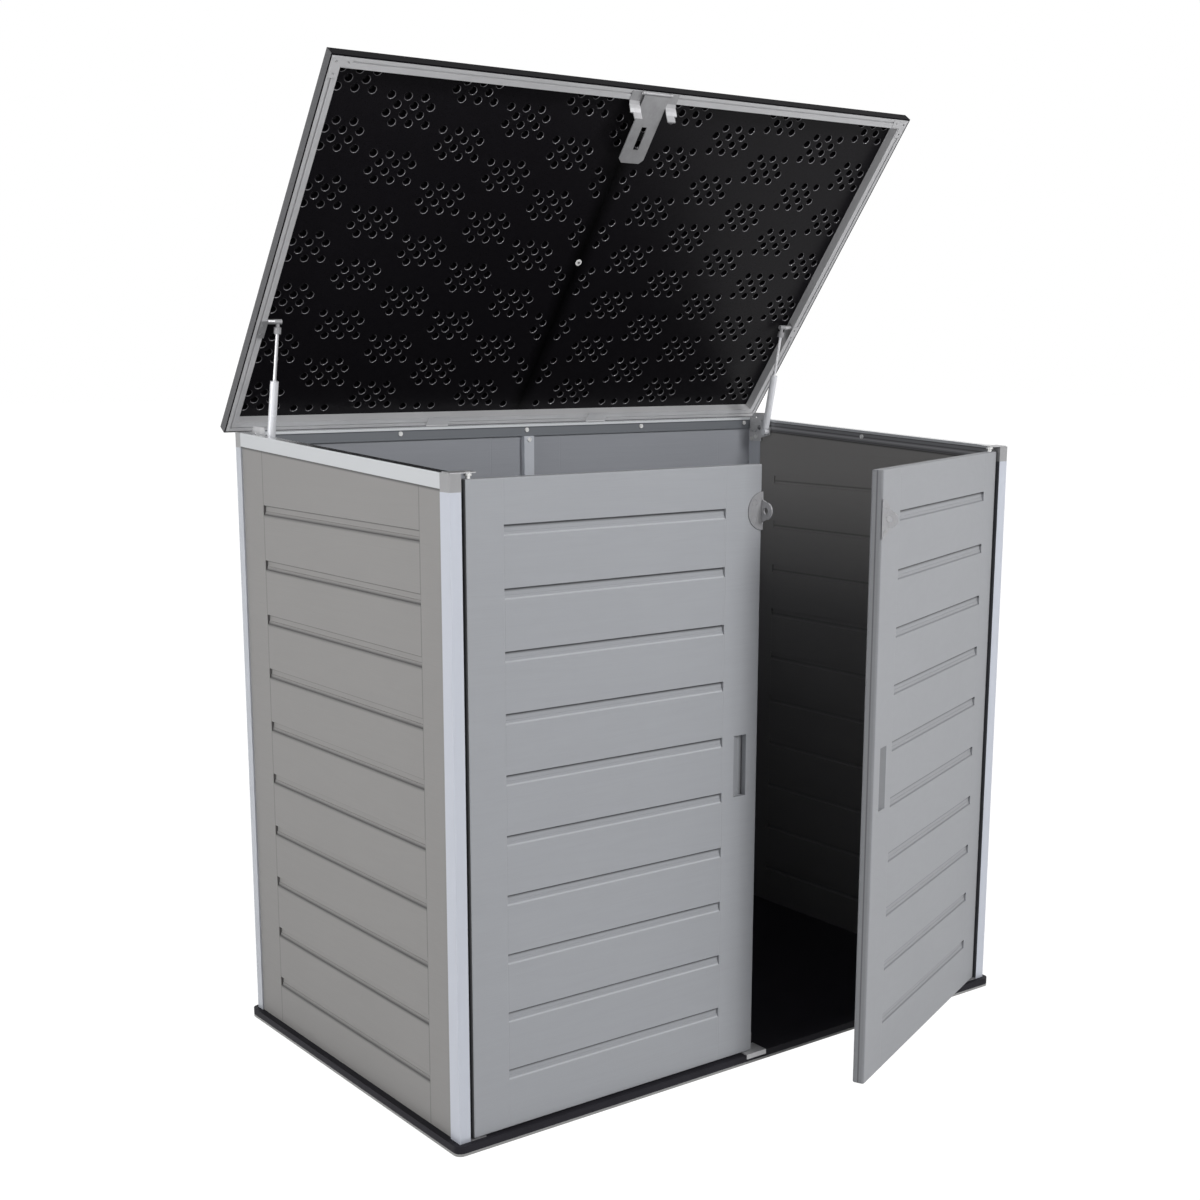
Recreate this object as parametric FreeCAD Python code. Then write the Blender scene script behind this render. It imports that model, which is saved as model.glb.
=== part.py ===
import FreeCAD, Part
import math
import os

# Garden storage cabinet: base, post-and-rail frame, blow-moulded panels, two doors,
# a framed lid on two gas struts and a hasp that drops over the doors' lock eyes.
# Millimetres. X runs right along the front, Y to the back, Z up. The pieces are drawn
# from the cabinet's front left corner on the ground and shifted at the end, so that the
# origin is the middle of the footprint on the ground.

V = FreeCAD.Vector

# Overall sizes over the posts
width = 1270.0
depth = 740.0
front_height = 1100.0
roof_rise = 36.0

# Base floor
floor_thick = 17.0
lip_out = 10.0
lip_corner_r = 14.0
trim_height = 4.5
trim_wide = 11.0

# Posts and rails, the same channel throughout
post_face = 21.0
post_deep = 28.0
back_post_wide = 23.0
back_post_deep = 20.0
back_leg_long = 32.0
back_leg_below_rail = 1.5
channel_wall = 1.5
cap_height = 28.0
cap_wall = 2.0
cap_top = 3.0
rail_height = 25.0
rail_lip_out = 1.5
rail_lip_high = 2.0
rail_bead_high = 5.0
centre_post_wide = 24.0
centre_post_deep = 12.0

# Blow-moulded wall panels
panel_thick = 15.5
panel_inset = 3.0
back_panel_gap = 1.0
panel_in_post = 6.0
groove_depth = 5.0
groove_height = 18.0
groove_ledge_below = 11.0
groove_ledge_drop = 0.8
groove_ledge = 1.0
groove_foot_high = 2.0
groove_taper = 0.8
inner_groove_depth = 3.2
side_groove_low = 109.3
side_groove_pitch = 99.86
side_plain_top = 80.0
side_margin = 67.0
side_rear_margin = 80.0
back_margin = 91.0
back_seam_margin = 86.0

# Doors
door_thick = 21.6
door_above_floor = 3.0
door_below_top = 9.0
door_post_gap = 5.0
door_gap = 3.0
door_edge_r = 5.0
door_rim_r = 2.0
door_groove_low = 121.5
door_groove_pitch = 99.7
door_plain_top = 60.0
door_groove_from_hinge = 71.4
door_groove_from_free = 83.0
pivot_from_edge = 13.5
right_door_open = 23.0
pivot_pin_r = 4.0
pivot_pin_in_door = 20.0
pivot_bore_spare = 1.0
running_fit = 0.05
handle_wide = 29.0
handle_from_free = 27.5
handle_low = 508.0
handle_high = 619.0
handle_depth = 11.0
handle_floor = 10.0

# Lock eyes, one on each door's free edge
eye_below_top = 80.0
eye_r = 33.0
eye_plate_thick = 2.0
eye_tab_thick = 3.0
eye_tab_reach = 27.0
eye_tab_tip_r = 15.0
eye_hole_r = 5.5
eye_tab_root = 27.0
eye_tab_foot = 19.0
eye_tab_foot_out = 3.0
eye_rivet_r = 3.0
eye_rivet_head_r = 5.5
eye_rivet_head = 1.0
eye_rivet_in = 8.0
eye_rivet_from_free = 19.8
eye_rivet_spacing = 29.7
rivet_fit = 0.3

# Door pivots on the frame
top_plate_thick = 1.5
top_plate_from_front = 1.5
top_plate_from_back = 3.0
collar_r = 6.5
collar_high = 4.0
foot_plate_thick = 1.5
foot_plate_past_pivot = 12.0
foot_plate_deep = 24.0
foot_washer_r = 8.0
top_plate_past_pivot = 9.0

# Centre catch on the base lip
catch_wide = 46.0
catch_thick = 2.0
catch_drop = 9.0
catch_stop_wide = 34.0
catch_stop_high = 22.0
catch_stop_gap = 1.2

# Lid, measured square to its underside
lid_side_over = 17.0
lid_back_over = 5.0
lid_front_over = 9.0
lid_edge_high = 18.0
lid_crown = 14.0
lid_bevel = 26.0
lid_skirt = 3.0
lid_skirt_low = 0.5
lid_recess = 19.0
lid_rest_gap = 3.0
lid_seam_gap = 0.4
lid_open = 55.9
frame_wide = 22.0
frame_wall = 2.0
frame_flange = 3.5
frame_outer_strip = 6.0
frame_groove = 3.0
frame_groove_deep = 2.0
frame_outer_web = 16.0
corner_plate_thick = 1.0
corner_plate_leg = 36.0
corner_plate_wide = 15.0
corner_plate_from_skirt = 2.0
corner_hole_r = 2.2
plug_r = 6.5
plug_head = 2.0
plug_shank_r = 3.0
plug_hole_r = 2.4
plug_from_back = 380.0
plug_fit = 0.3

# Lid hinges on the back rail
hinge_spacing = 394.0
hinge_wide = 50.0
knuckle_r = 3.0
knuckle_middle = 17.0
knuckle_gap = 0.5
knuckle_weld = 0.4
hinge_pin_r = 1.2
hinge_pin_past_leaf = 1.0
leaf_thick = 1.5
leaf_back_gap = 0.6
leaf_low = 18.0
leaf_on_lid = 20.0
hinge_below_top = 6.0

# Gas struts
strut_from_side = 30.5
strut_low_from_back = 80.0
strut_low_below_back = 31.0
strut_up_from_back = 242.5
strut_up_high = 7.0
ball_r = 4.0
stud_r = 2.5
socket_r = 7.0
socket_half = 6.5
tube_r = 7.5
tube_from = 9.0
tube_to = 126.0
tube_bore_r = 5.0
tube_bottom_thick = 3.0
gland_thick = 5.0
rod_r = 3.0
rod_seat = 4.0
piston_long = 4.0
piston_below_gland = 12.0
upper_head_r = 4.5
upper_neck_r = 3.5
upper_collar_r = 6.5
upper_collar_high = 11.0
socket_up_long = 21.0
strut_face_gap = 0.3
strut_plate_thick = 1.5
strut_plate_above_ball = 41.0
strut_plate_below_ball = 22.0
strut_plate_corner = 13.0
strut_plate_corner_drop = 18.0
strut_plate_foot = 38.0
strut_plate_hole_r = 5.5
strut_plate_hole_from_foot = 7.0
strut_plate_hole_above_ball = 8.0
strut_plate_small_hole_r = 2.2
strut_plate_small_holes = ((17.0, 0.0), (28.0, 0.0), (17.0, 30.0), (-2.0, 24.0))
strut_plate_screws = ((42.0, 12.0), (27.0, 17.0))
upper_plate_thick = 1.8
upper_plate_from_rim = 10.5
upper_plate_long = 36.0
upper_plate_past_arm = 7.0
upper_ear_thick = 1.8
upper_ear_past_arm = 2.5
upper_hole_r = 2.2
upper_hole_spacing = 18.5
upper_hole_from_arm = 2.5
upper_hole_from_rim = 15.5
upper_arm_r = 4.5
upper_arm_short_of_axis = 7.5

# Hasp
hasp_pivot_from_front = 5.0
hasp_pivot_low = 5.0
hasp_wide = 56.0
hasp_thick = 2.0
hasp_chamfer = 8.0
hasp_slot_wide = 12.0
hasp_slot_long = 46.0
hasp_tip = 27.0
hasp_barrel_r = 3.0
hasp_barrel_proud = 1.0
hasp_pin_r = 1.5
hasp_pin_past_lug = 1.0
hasp_lug = 5.0
hasp_lug_gap = 0.5
hasp_plate_from_front = 4.0
hasp_plate_deep = 20.0
hasp_plate_thick = 1.8
hasp_ear_gap = 1.0
hasp_ear_wide = 24.0
hasp_ear_foot_wide = 18.0
hasp_ear_thick = 2.0
hasp_ear_reach = 21.0
hasp_ear_drop = 24.0
hasp_ear_curve = ((0.0, 0.0), (0.28, 0.13), (0.48, 0.38), (0.71, 0.59), (1.0, 1.0))

# Fasteners
screw_head_r = 4.5
screw_head = 2.2
screw_shank_r = 2.0
screw_long = 12.0
rail_end_screw = 42.0
rail_mid_screw = 337.0
post_screw_low = 63.0
post_screw_below_rail = 7.0
post_screw_long = 20.0
screw_fit = 0.3

# Worked out from the sizes above
back_height = front_height + roof_rise
slope = math.atan2(roof_rise, depth)
slope_deg = math.degrees(slope)
rise = math.tan(slope)
mid_x = width / 2.0
back_face = depth - post_face
panel_back_y = depth - channel_wall - back_panel_gap - panel_thick
rail_low = back_height - rail_height
side_groove_count = 1 + int((front_height - side_plain_top - side_groove_low) / side_groove_pitch)
door_x = post_face + door_post_gap
door_free_x = mid_x - door_gap / 2
door_bottom = floor_thick + door_above_floor
door_top = front_height - door_below_top
door_groove_count = 1 + int((door_top - door_plain_top - door_groove_low) / door_groove_pitch)
eye_height = door_top - eye_below_top
pivot_x = door_x + pivot_from_edge
pivot_y = door_thick / 2.0
hinge_y = depth + knuckle_r + leaf_back_gap
hinge_z = back_height - hinge_below_top
lid_long = depth + lid_back_over + lid_front_over
lid_back_z = back_height + lid_rest_gap + lid_back_over * rise
lid_behind_hinge = lid_back_over - (hinge_y - depth)
lid_over_hinge = lid_back_z - hinge_z
lid_back_u = -lid_behind_hinge * math.cos(slope) - lid_over_hinge * math.sin(slope)
lid_under = lid_over_hinge * math.cos(slope) - lid_behind_hinge * math.sin(slope)
lid_top = lid_edge_high + lid_crown
strut_low_y = depth - strut_low_from_back
strut_low_z = back_height - strut_low_below_back
hasp_pivot_from_back = lid_long - hasp_pivot_from_front

os.makedirs("parts", exist_ok=True)


def box(x0, x1, y0, y1, z0, z1):
    return Part.makeBox(x1 - x0, y1 - y0, z1 - z0, V(x0, y0, z0))


def rod_x(radius, x0, x1, y, z):
    return Part.makeCylinder(radius, x1 - x0, V(x0, y, z), V(1, 0, 0))


def rod_y(radius, y0, y1, x, z):
    return Part.makeCylinder(radius, y1 - y0, V(x, y0, z), V(0, 1, 0))


def rod_z(radius, z0, z1, x, y):
    return Part.makeCylinder(radius, z1 - z0, V(x, y, z0), V(0, 0, 1))


def prism_x(outline, x0, x1):
    points = [V(x0, y, z) for y, z in outline]
    face = Part.Face(Part.makePolygon(points + points[:1]))
    return face.extrude(V(x1 - x0, 0, 0))


def prism_y(outline, y0, y1):
    points = [V(x, y0, z) for x, z in outline]
    face = Part.Face(Part.makePolygon(points + points[:1]))
    return face.extrude(V(0, y1 - y0, 0))


def prism_z(outline, z0, z1):
    points = [V(x, y, z0) for x, y in outline]
    face = Part.Face(Part.makePolygon(points + points[:1]))
    return face.extrude(V(0, 0, z1 - z0))


def round_upright_edges(shape, radius):
    edges = []
    for edge in shape.Edges:
        first, last = edge.Vertexes[0].Point, edge.Vertexes[-1].Point
        if abs(first.x - last.x) < 1e-6 and abs(first.y - last.y) < 1e-6:
            edges.append(edge)
    return shape.makeFillet(radius, edges)


def round_level_edges(shape, radius, heights):
    """Round the rims that lie level at the given heights."""
    edges = []
    for edge in shape.Edges:
        bound = edge.BoundBox
        if bound.ZLength < 1e-6 and min(abs(bound.ZMin - z) for z in heights) < 1e-6:
            edges.append(edge)
    return shape.makeFillet(radius, edges)


def mirrored(shape):
    return shape.mirror(V(mid_x, 0, 0), V(1, 0, 0))


def at_height(y, below=0.0):
    """Height of the sloping roof line at depth y, less a distance measured straight down."""
    return front_height + rise * y - below


def save(name, shapes):
    """Write one node, moved so that the origin is the middle of the footprint."""
    if not isinstance(shapes, list):
        shapes = [shapes]
    moved = []
    for shape in shapes:
        placed = shape.removeSplitter()
        placed.translate(V(-mid_x, -depth / 2.0, 0))
        moved.extend(placed.Solids)
    node = moved[0] if len(moved) == 1 else Part.makeCompound(moved)
    node.exportStep("parts/" + name + ".step")
    print(name, len(moved), "solids", round(sum(s.Volume for s in moved) / 1000.0, 1), "cm3")


def save_pair(name, shape):
    save(name + "_left", shape)
    save(name + "_right", mirrored(shape))


# Base floor

def base_floor():
    slab = box(-lip_out, width + lip_out, -lip_out, depth + lip_out, trim_height, floor_thick)
    slab = round_upright_edges(slab, lip_corner_r)
    inner = trim_wide - lip_out
    return slab.fuse(box(inner, width - inner, inner, depth - inner, 0, trim_height))


def base_trim():
    """Four pale strips under the lip; the front and back ones carry the rounded corners."""
    out = lip_out
    ring = box(-out, width + out, -out, depth + out, 0, trim_height)
    ring = round_upright_edges(ring, lip_corner_r)
    inner = trim_wide - lip_out
    ring = ring.cut(box(inner, width - inner, inner, depth - inner, 0, trim_height))
    front = ring.common(box(-out, width + out, -out, inner, 0, trim_height))
    back = ring.common(box(-out, width + out, depth - inner, depth + out, 0, trim_height))
    left = ring.common(box(-out, inner, inner, depth - inner, 0, trim_height))
    right = ring.common(box(width - inner, width + out, inner, depth - inner, 0, trim_height))
    return [front, back, left, right]


# Posts, caps and rails

def front_post():
    top = front_height - cap_height
    post = box(0, post_face, 0, post_deep, floor_thick, top)
    return post.cut(box(channel_wall, post_face - channel_wall, channel_wall, post_deep, floor_thick, top))


def back_post():
    """Channel at the back corner, with a leg forward along the side panel's inner face."""
    top = back_height - cap_height
    front = depth - back_post_deep
    wall = channel_wall
    post = box(0, back_post_wide, front, depth, floor_thick, top)
    post = post.cut(box(wall, back_post_wide, front + wall, depth - wall, floor_thick, top))
    leg_x = panel_inset + panel_thick
    leg_front = front - back_leg_long
    leg_top = at_height(leg_front, rail_height + back_leg_below_rail)
    return post.fuse(box(leg_x, leg_x + wall, leg_front, front + wall, floor_thick, leg_top))


def front_cap():
    low = front_height - cap_height
    outline = [(0, low), (post_deep, low), (post_deep, at_height(post_deep)), (0, at_height(0))]
    cap = prism_x(outline, 0, post_face)
    hollow = [(cap_wall * 2, low), (post_deep, low), (post_deep, at_height(post_deep, cap_top)),
              (cap_wall * 2, at_height(cap_wall * 2, cap_top))]
    return cap.cut(prism_x(hollow, cap_wall, post_face - cap_wall))


def back_cap():
    low = back_height - cap_height
    y0 = depth - back_post_deep
    outline = [(y0, low), (depth, low), (depth, at_height(depth)), (y0, at_height(y0))]
    cap = prism_x(outline, 0, back_post_wide)
    in0, in1, roof = y0 + cap_wall, depth - cap_wall, cap_top + 1
    hollow = [(in0, low), (in1, low), (in1, at_height(in1, roof)), (in0, at_height(in0, roof))]
    return cap.cut(prism_x(hollow, cap_wall, back_post_wide))


def side_rail():
    y0, y1 = post_deep, depth - back_post_deep
    low = [(y0, at_height(y0, rail_height)), (y1, at_height(y1, rail_height))]
    outer = low + [(y1, at_height(y1)), (y0, at_height(y0))]
    inner = low + [(y1, at_height(y1, channel_wall)), (y0, at_height(y0, channel_wall))]
    rail = prism_x(outer, 0, post_face)
    return rail.cut(prism_x(inner, channel_wall, post_face - channel_wall))


def back_rail():
    """Channel along the back, with a lip and a bead along its inner face."""
    y0, y1 = back_face, depth
    lip_y, lip_z = y0 - rail_lip_out, rail_low + rail_lip_high
    bead_z = at_height(y0, rail_bead_high)
    outer = [(lip_y, rail_low), (y1, rail_low), (y1, at_height(y1)), (lip_y, at_height(lip_y)),
             (lip_y, bead_z), (y0, bead_z), (y0, lip_z), (lip_y, lip_z)]
    in0, in1, roof = y0 + channel_wall, y1 - channel_wall, channel_wall * 2
    inner = [(in0, rail_low), (in1, rail_low), (in1, at_height(in1, roof)), (in0, at_height(in0, roof))]
    x0, x1 = back_post_wide, width - back_post_wide
    return prism_x(outer, x0, x1).cut(prism_x(inner, x0, x1))


# Wall panels

def groove_outline(face, inward, top, depth_in):
    """Section of a plank groove: sharp upper step, a small ledge, and a sloping lower face."""
    share = depth_in / groove_depth
    step_depth = groove_depth - groove_taper
    ledge_depth = step_depth - groove_ledge
    foot_depth = ledge_depth - groove_taper
    profile = [(0, groove_depth), (groove_ledge_below, step_depth),
               (groove_ledge_below + groove_ledge_drop, ledge_depth),
               (groove_height - groove_foot_high, foot_depth), (groove_height, 0)]
    inside = [(face + inward * share * deep, top - drop) for drop, deep in profile]
    return [(face - inward, top)] + inside + [(face - inward, top - groove_height)]


def groove_x(face, inward, top, x0, x1, depth_in):
    return prism_x(groove_outline(face, inward, top, depth_in), x0, x1)


def groove_y(face, inward, top, y0, y1, depth_in):
    return prism_y(groove_outline(face, inward, top, depth_in), y0, y1)


def side_groove_heights():
    return [side_groove_low + side_groove_pitch * i for i in range(side_groove_count)]


def door_groove_heights():
    return [door_groove_low + door_groove_pitch * i for i in range(door_groove_count)]


def side_panel():
    x0, x1 = panel_inset, panel_inset + panel_thick
    y0, y1 = post_deep - panel_in_post, depth - back_post_deep
    top_gap = channel_wall
    front_gap = cap_top
    outline = [(y0, floor_thick), (y1, floor_thick), (y1, at_height(y1, top_gap)),
               (post_deep, at_height(post_deep, top_gap)), (post_deep, at_height(post_deep, front_gap)),
               (y0, at_height(y0, front_gap))]
    panel = prism_x(outline, x0, x1)
    groove0, groove1 = post_deep + side_margin, y1 - side_rear_margin
    for z in side_groove_heights():
        panel = panel.cut(groove_y(x0, 1, z, groove0, groove1, groove_depth))
        panel = panel.cut(groove_y(x1, -1, z, groove0, groove1, inner_groove_depth))
    return panel


def back_panel():
    y0, y1 = panel_back_y, panel_back_y + panel_thick
    roof = channel_wall * 2
    outline = [(y0, floor_thick), (y1, floor_thick), (y1, at_height(y1, roof)), (y0, at_height(y0, roof))]
    panel = prism_x(outline, back_post_wide, mid_x)
    tongue_top = back_height - cap_height
    panel = panel.fuse(box(back_post_wide - panel_in_post, back_post_wide, y0, y1, floor_thick, tongue_top))
    groove0, groove1 = back_post_wide + back_margin, mid_x - back_seam_margin
    for z in door_groove_heights():
        panel = panel.cut(groove_x(y1, -1, z, groove0, groove1, groove_depth))
        panel = panel.cut(groove_x(y0, 1, z, groove0, groove1, inner_groove_depth))
    return panel


def centre_post():
    """Channel inside the cabinet over the joint of the two back panels."""
    y0 = panel_back_y - centre_post_deep
    half = centre_post_wide / 2
    wall = channel_wall
    post = box(mid_x - half, mid_x + half, y0, panel_back_y, floor_thick, rail_low)
    return post.cut(box(mid_x - half + wall, mid_x + half - wall, y0 + wall, panel_back_y, floor_thick, rail_low))


# Doors

def door():
    slab = box(door_x, door_free_x, 0, door_thick, door_bottom, door_top)
    slab = round_upright_edges(slab, door_edge_r)
    slab = round_level_edges(slab, door_rim_r, (door_bottom, door_top))
    x0, x1 = door_x + door_groove_from_hinge, door_free_x - door_groove_from_free
    for z in door_groove_heights():
        slab = slab.cut(groove_x(0, 1, z, x0, x1, groove_depth))
        slab = slab.cut(groove_x(door_thick, -1, z, x0, x1, inner_groove_depth))
    slab = slab.cut(handle_recess())
    bore_r, bore = pivot_pin_r + running_fit, pivot_pin_in_door + pivot_bore_spare
    slab = slab.cut(rod_z(bore_r, door_top - bore, door_top, pivot_x, pivot_y))
    slab = slab.cut(rod_z(bore_r, door_bottom, door_bottom + bore, pivot_x, pivot_y))
    for x, z in rivet_places():
        slab = slab.cut(rod_y(eye_rivet_r + rivet_fit, 0, eye_rivet_in, x, z))
    return slab


def handle_recess():
    """Finger pull: its floor slopes down from the hinge side to a steep wall by the free edge."""
    x1 = door_free_x - handle_from_free
    x0 = x1 - handle_wide
    outline = [(x0, -1), (x1, -1), (x1, handle_depth), (x1 - handle_floor, handle_depth), (x0, 0)]
    return prism_z(outline, handle_low, handle_high)


def rivet_places():
    x = door_free_x - eye_rivet_from_free
    return [(x, eye_height + eye_rivet_spacing / 2), (x, eye_height - eye_rivet_spacing / 2)]


def lock_eye():
    low, high = eye_height - eye_r, eye_height + eye_r
    disc = rod_y(eye_r, -eye_plate_thick, 0, door_free_x, eye_height)
    disc = disc.common(box(door_free_x - eye_r, door_free_x, -eye_plate_thick, 0, low, high))
    x0 = door_free_x - eye_tab_thick
    tip_y = -(eye_tab_reach - eye_tab_tip_r)
    tab = rod_x(eye_tab_tip_r, x0, door_free_x, tip_y, eye_height)
    profile = [(0, eye_tab_root), (-eye_plate_thick, eye_tab_root), (-eye_tab_foot_out, eye_tab_foot),
               (tip_y, eye_tab_tip_r)]
    upper = [(y, eye_height + half) for y, half in profile]
    lower = [(y, eye_height - half) for y, half in reversed(profile)]
    tab = tab.fuse(prism_x(upper + lower, x0, door_free_x))
    tab = tab.common(box(x0, door_free_x, -eye_tab_reach, 0, low, high))
    tab = tab.cut(rod_x(eye_hole_r, x0, door_free_x, tip_y, eye_height))
    eye = disc.fuse(tab)
    sunk = -eye_plate_thick + eye_rivet_head
    for x, z in rivet_places():
        eye = eye.cut(rod_y(eye_rivet_r + rivet_fit, sunk, 0, x, z))
        eye = eye.cut(rod_y(eye_rivet_head_r + rivet_fit, -eye_plate_thick, sunk, x, z))
    return eye


def eye_rivets():
    """Flat-headed rivets sunk flush in the eye, so that the hasp can lie over them."""
    sunk = -eye_plate_thick + eye_rivet_head
    rivets = []
    for x, z in rivet_places():
        shank = rod_y(eye_rivet_r, sunk, eye_rivet_in, x, z)
        head = rod_y(eye_rivet_head_r, -eye_plate_thick, sunk, x, z)
        rivets.append(shank.fuse(head))
    return rivets


def door_at_rest(shapes):
    """The right-hand twin, turned open about its own pivot."""
    turned = []
    for shape in shapes:
        twin = mirrored(shape)
        twin.rotate(V(width - pivot_x, pivot_y, 0), V(0, 0, 1), right_door_open)
        turned.append(twin)
    return turned


# Door pivots

def top_pivot_plate():
    """Thin plate on the front cap that reaches over the door's corner."""
    x1 = pivot_x + top_plate_past_pivot
    y0, y1 = top_plate_from_front, post_deep - top_plate_from_back
    outline = [(y0, at_height(y0)), (y1, at_height(y1)), (y1, at_height(y1, -top_plate_thick)),
               (y0, at_height(y0, -top_plate_thick))]
    plate = prism_x(outline, cap_wall, x1)
    return plate.cut(rod_z(pivot_pin_r + running_fit, front_height - 5, front_height + 10, pivot_x, pivot_y))


def top_pivot_pin():
    """Pin through the top plate, with a collar that bears on the plate's sloping underside."""
    low = door_top - pivot_pin_in_door
    high = at_height(pivot_y, -top_plate_thick)
    pin = rod_z(pivot_pin_r, low, high, pivot_x, pivot_y)
    collar_low = front_height - collar_high
    collar = rod_z(collar_r, collar_low, front_height + collar_high, pivot_x, pivot_y)
    y0, y1 = pivot_y - collar_r, pivot_y + collar_r
    under_plate = [(y0, collar_low), (y1, collar_low), (y1, at_height(y1)), (y0, at_height(y0))]
    return pin.fuse(collar.common(prism_x(under_plate, pivot_x - collar_r, pivot_x + collar_r)))


def foot_plate():
    """Plate on the base beside the foot of the post, with the washer the door stands on."""
    z0, z1 = floor_thick, floor_thick + foot_plate_thick
    plate = box(post_face, pivot_x + foot_plate_past_pivot, 0, foot_plate_deep, z0, z1)
    plate = plate.fuse(rod_z(foot_washer_r, z1, door_bottom, pivot_x, pivot_y))
    return plate.cut(rod_z(pivot_pin_r + running_fit, z0, door_bottom, pivot_x, pivot_y))


def foot_pin():
    return rod_z(pivot_pin_r, floor_thick, door_bottom + pivot_pin_in_door, pivot_x, pivot_y)


def centre_catch():
    x0, x1 = mid_x - catch_wide / 2, mid_x + catch_wide / 2
    z1 = floor_thick + catch_thick
    stop_y = door_thick + catch_stop_gap
    plate = box(x0, x1, -lip_out - catch_thick, stop_y + catch_thick, floor_thick, z1)
    drop = box(x0, x1, -lip_out - catch_thick, -lip_out, z1 - catch_drop, z1)
    stop0, stop1 = mid_x - catch_stop_wide / 2, mid_x + catch_stop_wide / 2
    stop = box(stop0, stop1, stop_y, stop_y + catch_thick, z1, z1 + catch_stop_high)
    return plate.fuse(drop).fuse(stop)


# Lid: drawn flat with the hinge axis at y = 0, z = 0 and the front towards -Y,
# then tilted and set on the hinge in the open position

def lid_y(from_back):
    return -(lid_back_u + from_back)


def lid_z(above):
    return lid_under + above


def on_lid(shape):
    placed = shape.copy()
    placed.rotate(V(0, 0, 0), V(1, 0, 0), slope_deg - lid_open)
    placed.translate(V(0, hinge_y, hinge_z))
    return placed


def save_lid(name, shapes):
    if not isinstance(shapes, list):
        shapes = [shapes]
    save(name, [on_lid(shape) for shape in shapes])


def lid_box(x0, x1, back0, back1, low, high):
    return box(x0, x1, lid_y(back1), lid_y(back0), lid_z(low), lid_z(high))


lid_x0 = -lid_side_over
lid_x1 = width + lid_side_over


def lid_panel():
    """Black double-wall cover: skirt round the frame, bevelled border and raised middle."""
    low = lid_box(lid_x0, lid_x1, 0, lid_long, lid_skirt_low, lid_edge_high)
    corners_low = [(lid_x0, 0), (lid_x1, 0), (lid_x1, lid_long), (lid_x0, lid_long)]
    corners_high = [(lid_x0 + lid_bevel, lid_bevel), (lid_x1 - lid_bevel, lid_bevel),
                    (lid_x1 - lid_bevel, lid_long - lid_bevel), (lid_x0 + lid_bevel, lid_long - lid_bevel)]
    ring_low = [V(x, lid_y(s), lid_z(lid_edge_high)) for x, s in corners_low]
    ring_high = [V(x, lid_y(s), lid_z(lid_top)) for x, s in corners_high]
    wires = [Part.makePolygon(ring + ring[:1]) for ring in (ring_low, ring_high)]
    crown = Part.makeLoft(wires, True, True)
    cover = low.fuse(crown)
    in_skirt, in_web = lid_skirt, frame_wide - frame_wall
    cover = cover.cut(lid_box(lid_x0 + in_skirt, lid_x1 - in_skirt, in_skirt, lid_long - in_skirt,
                              lid_skirt_low, frame_outer_web))
    cover = cover.cut(lid_box(lid_x0 + in_web, lid_x1 - in_web, in_web, lid_long - in_web,
                              frame_outer_web, lid_recess))
    bore = rod_z(plug_shank_r + plug_fit, lid_z(0), lid_z(lid_top), mid_x, lid_y(plug_from_back))
    return cover.cut(bore)


def lid_halves():
    cover = lid_panel()
    gap = lid_seam_gap / 2
    left = cover.common(lid_box(lid_x0, mid_x - gap, -1, lid_long + 1, -1, lid_top + 1))
    right = cover.common(lid_box(mid_x + gap, lid_x1, -1, lid_long + 1, -1, lid_top + 1))
    return left, right


def frame_section():
    """Rail section as (distance in from the rim, height above the underside)."""
    w0 = lid_skirt
    groove0 = w0 + frame_outer_strip
    groove1 = groove0 + frame_groove
    inner = frame_wide
    web = inner - frame_wall
    return [(w0, 0), (groove0, 0), (groove0, frame_groove_deep), (groove1, frame_groove_deep), (groove1, 0),
            (inner, 0), (inner, lid_recess), (web, lid_recess), (web, frame_flange),
            (w0 + frame_wall, frame_flange), (w0 + frame_wall, frame_outer_web), (w0, frame_outer_web)]


def side_frame_rail():
    outline = [(lid_x0 + w, lid_z(t)) for w, t in frame_section()]
    rail = prism_y(outline, lid_y(lid_long), lid_y(0))
    return mitre(rail, 1)


def front_frame_rail():
    outline = [(lid_y(lid_long - w), lid_z(t)) for w, t in frame_section()]
    rail = prism_x(outline, lid_x0, lid_x1)
    return mitre(rail, 0)


def back_frame_rail():
    outline = [(lid_y(w), lid_z(t)) for w, t in frame_section()]
    rail = prism_x(outline, lid_x0, lid_x1)
    return mitre(rail, 2)


def mitre(rail, which):
    """Keep the part of a rail inside its own 45 degree corner lines."""
    reach = lid_long / 2.0
    back, front = lid_y(0), lid_y(lid_long)
    z0, z1 = lid_z(-1), lid_z(lid_top)
    middle = (back + front) / 2
    if which == 1:
        wedge = [(lid_x0, back), (lid_x0 + reach, middle), (lid_x0, front)]
    elif which == 0:
        wedge = [(lid_x0, front), (lid_x0 + reach, middle), (lid_x1 - reach, middle), (lid_x1, front)]
    else:
        wedge = [(lid_x0, back), (lid_x0 + reach, middle), (lid_x1 - reach, middle), (lid_x1, back)]
    return rail.common(prism_z(wedge, z0, z1))


def corner_plates():
    """Angle plates on the mitres of the frame's two front corners."""
    leg, wide, inset = corner_plate_leg, corner_plate_wide, lid_skirt + corner_plate_from_skirt
    thick, half = corner_plate_thick, corner_plate_wide / 2
    x, s = lid_x0 + inset, lid_long - inset
    plate = lid_box(x, x + leg, s - wide, s, -thick, 0)
    plate = plate.fuse(lid_box(x, x + wide, s - leg, s, -thick, 0))
    for along_x, along_s in ((half, half), (leg - half, half), (half, leg - half)):
        hole = rod_z(corner_hole_r, lid_z(-thick), lid_z(0), x + along_x, lid_y(s - along_s))
        plate = plate.cut(hole)
    return [plate, mirrored(plate)]


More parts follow.
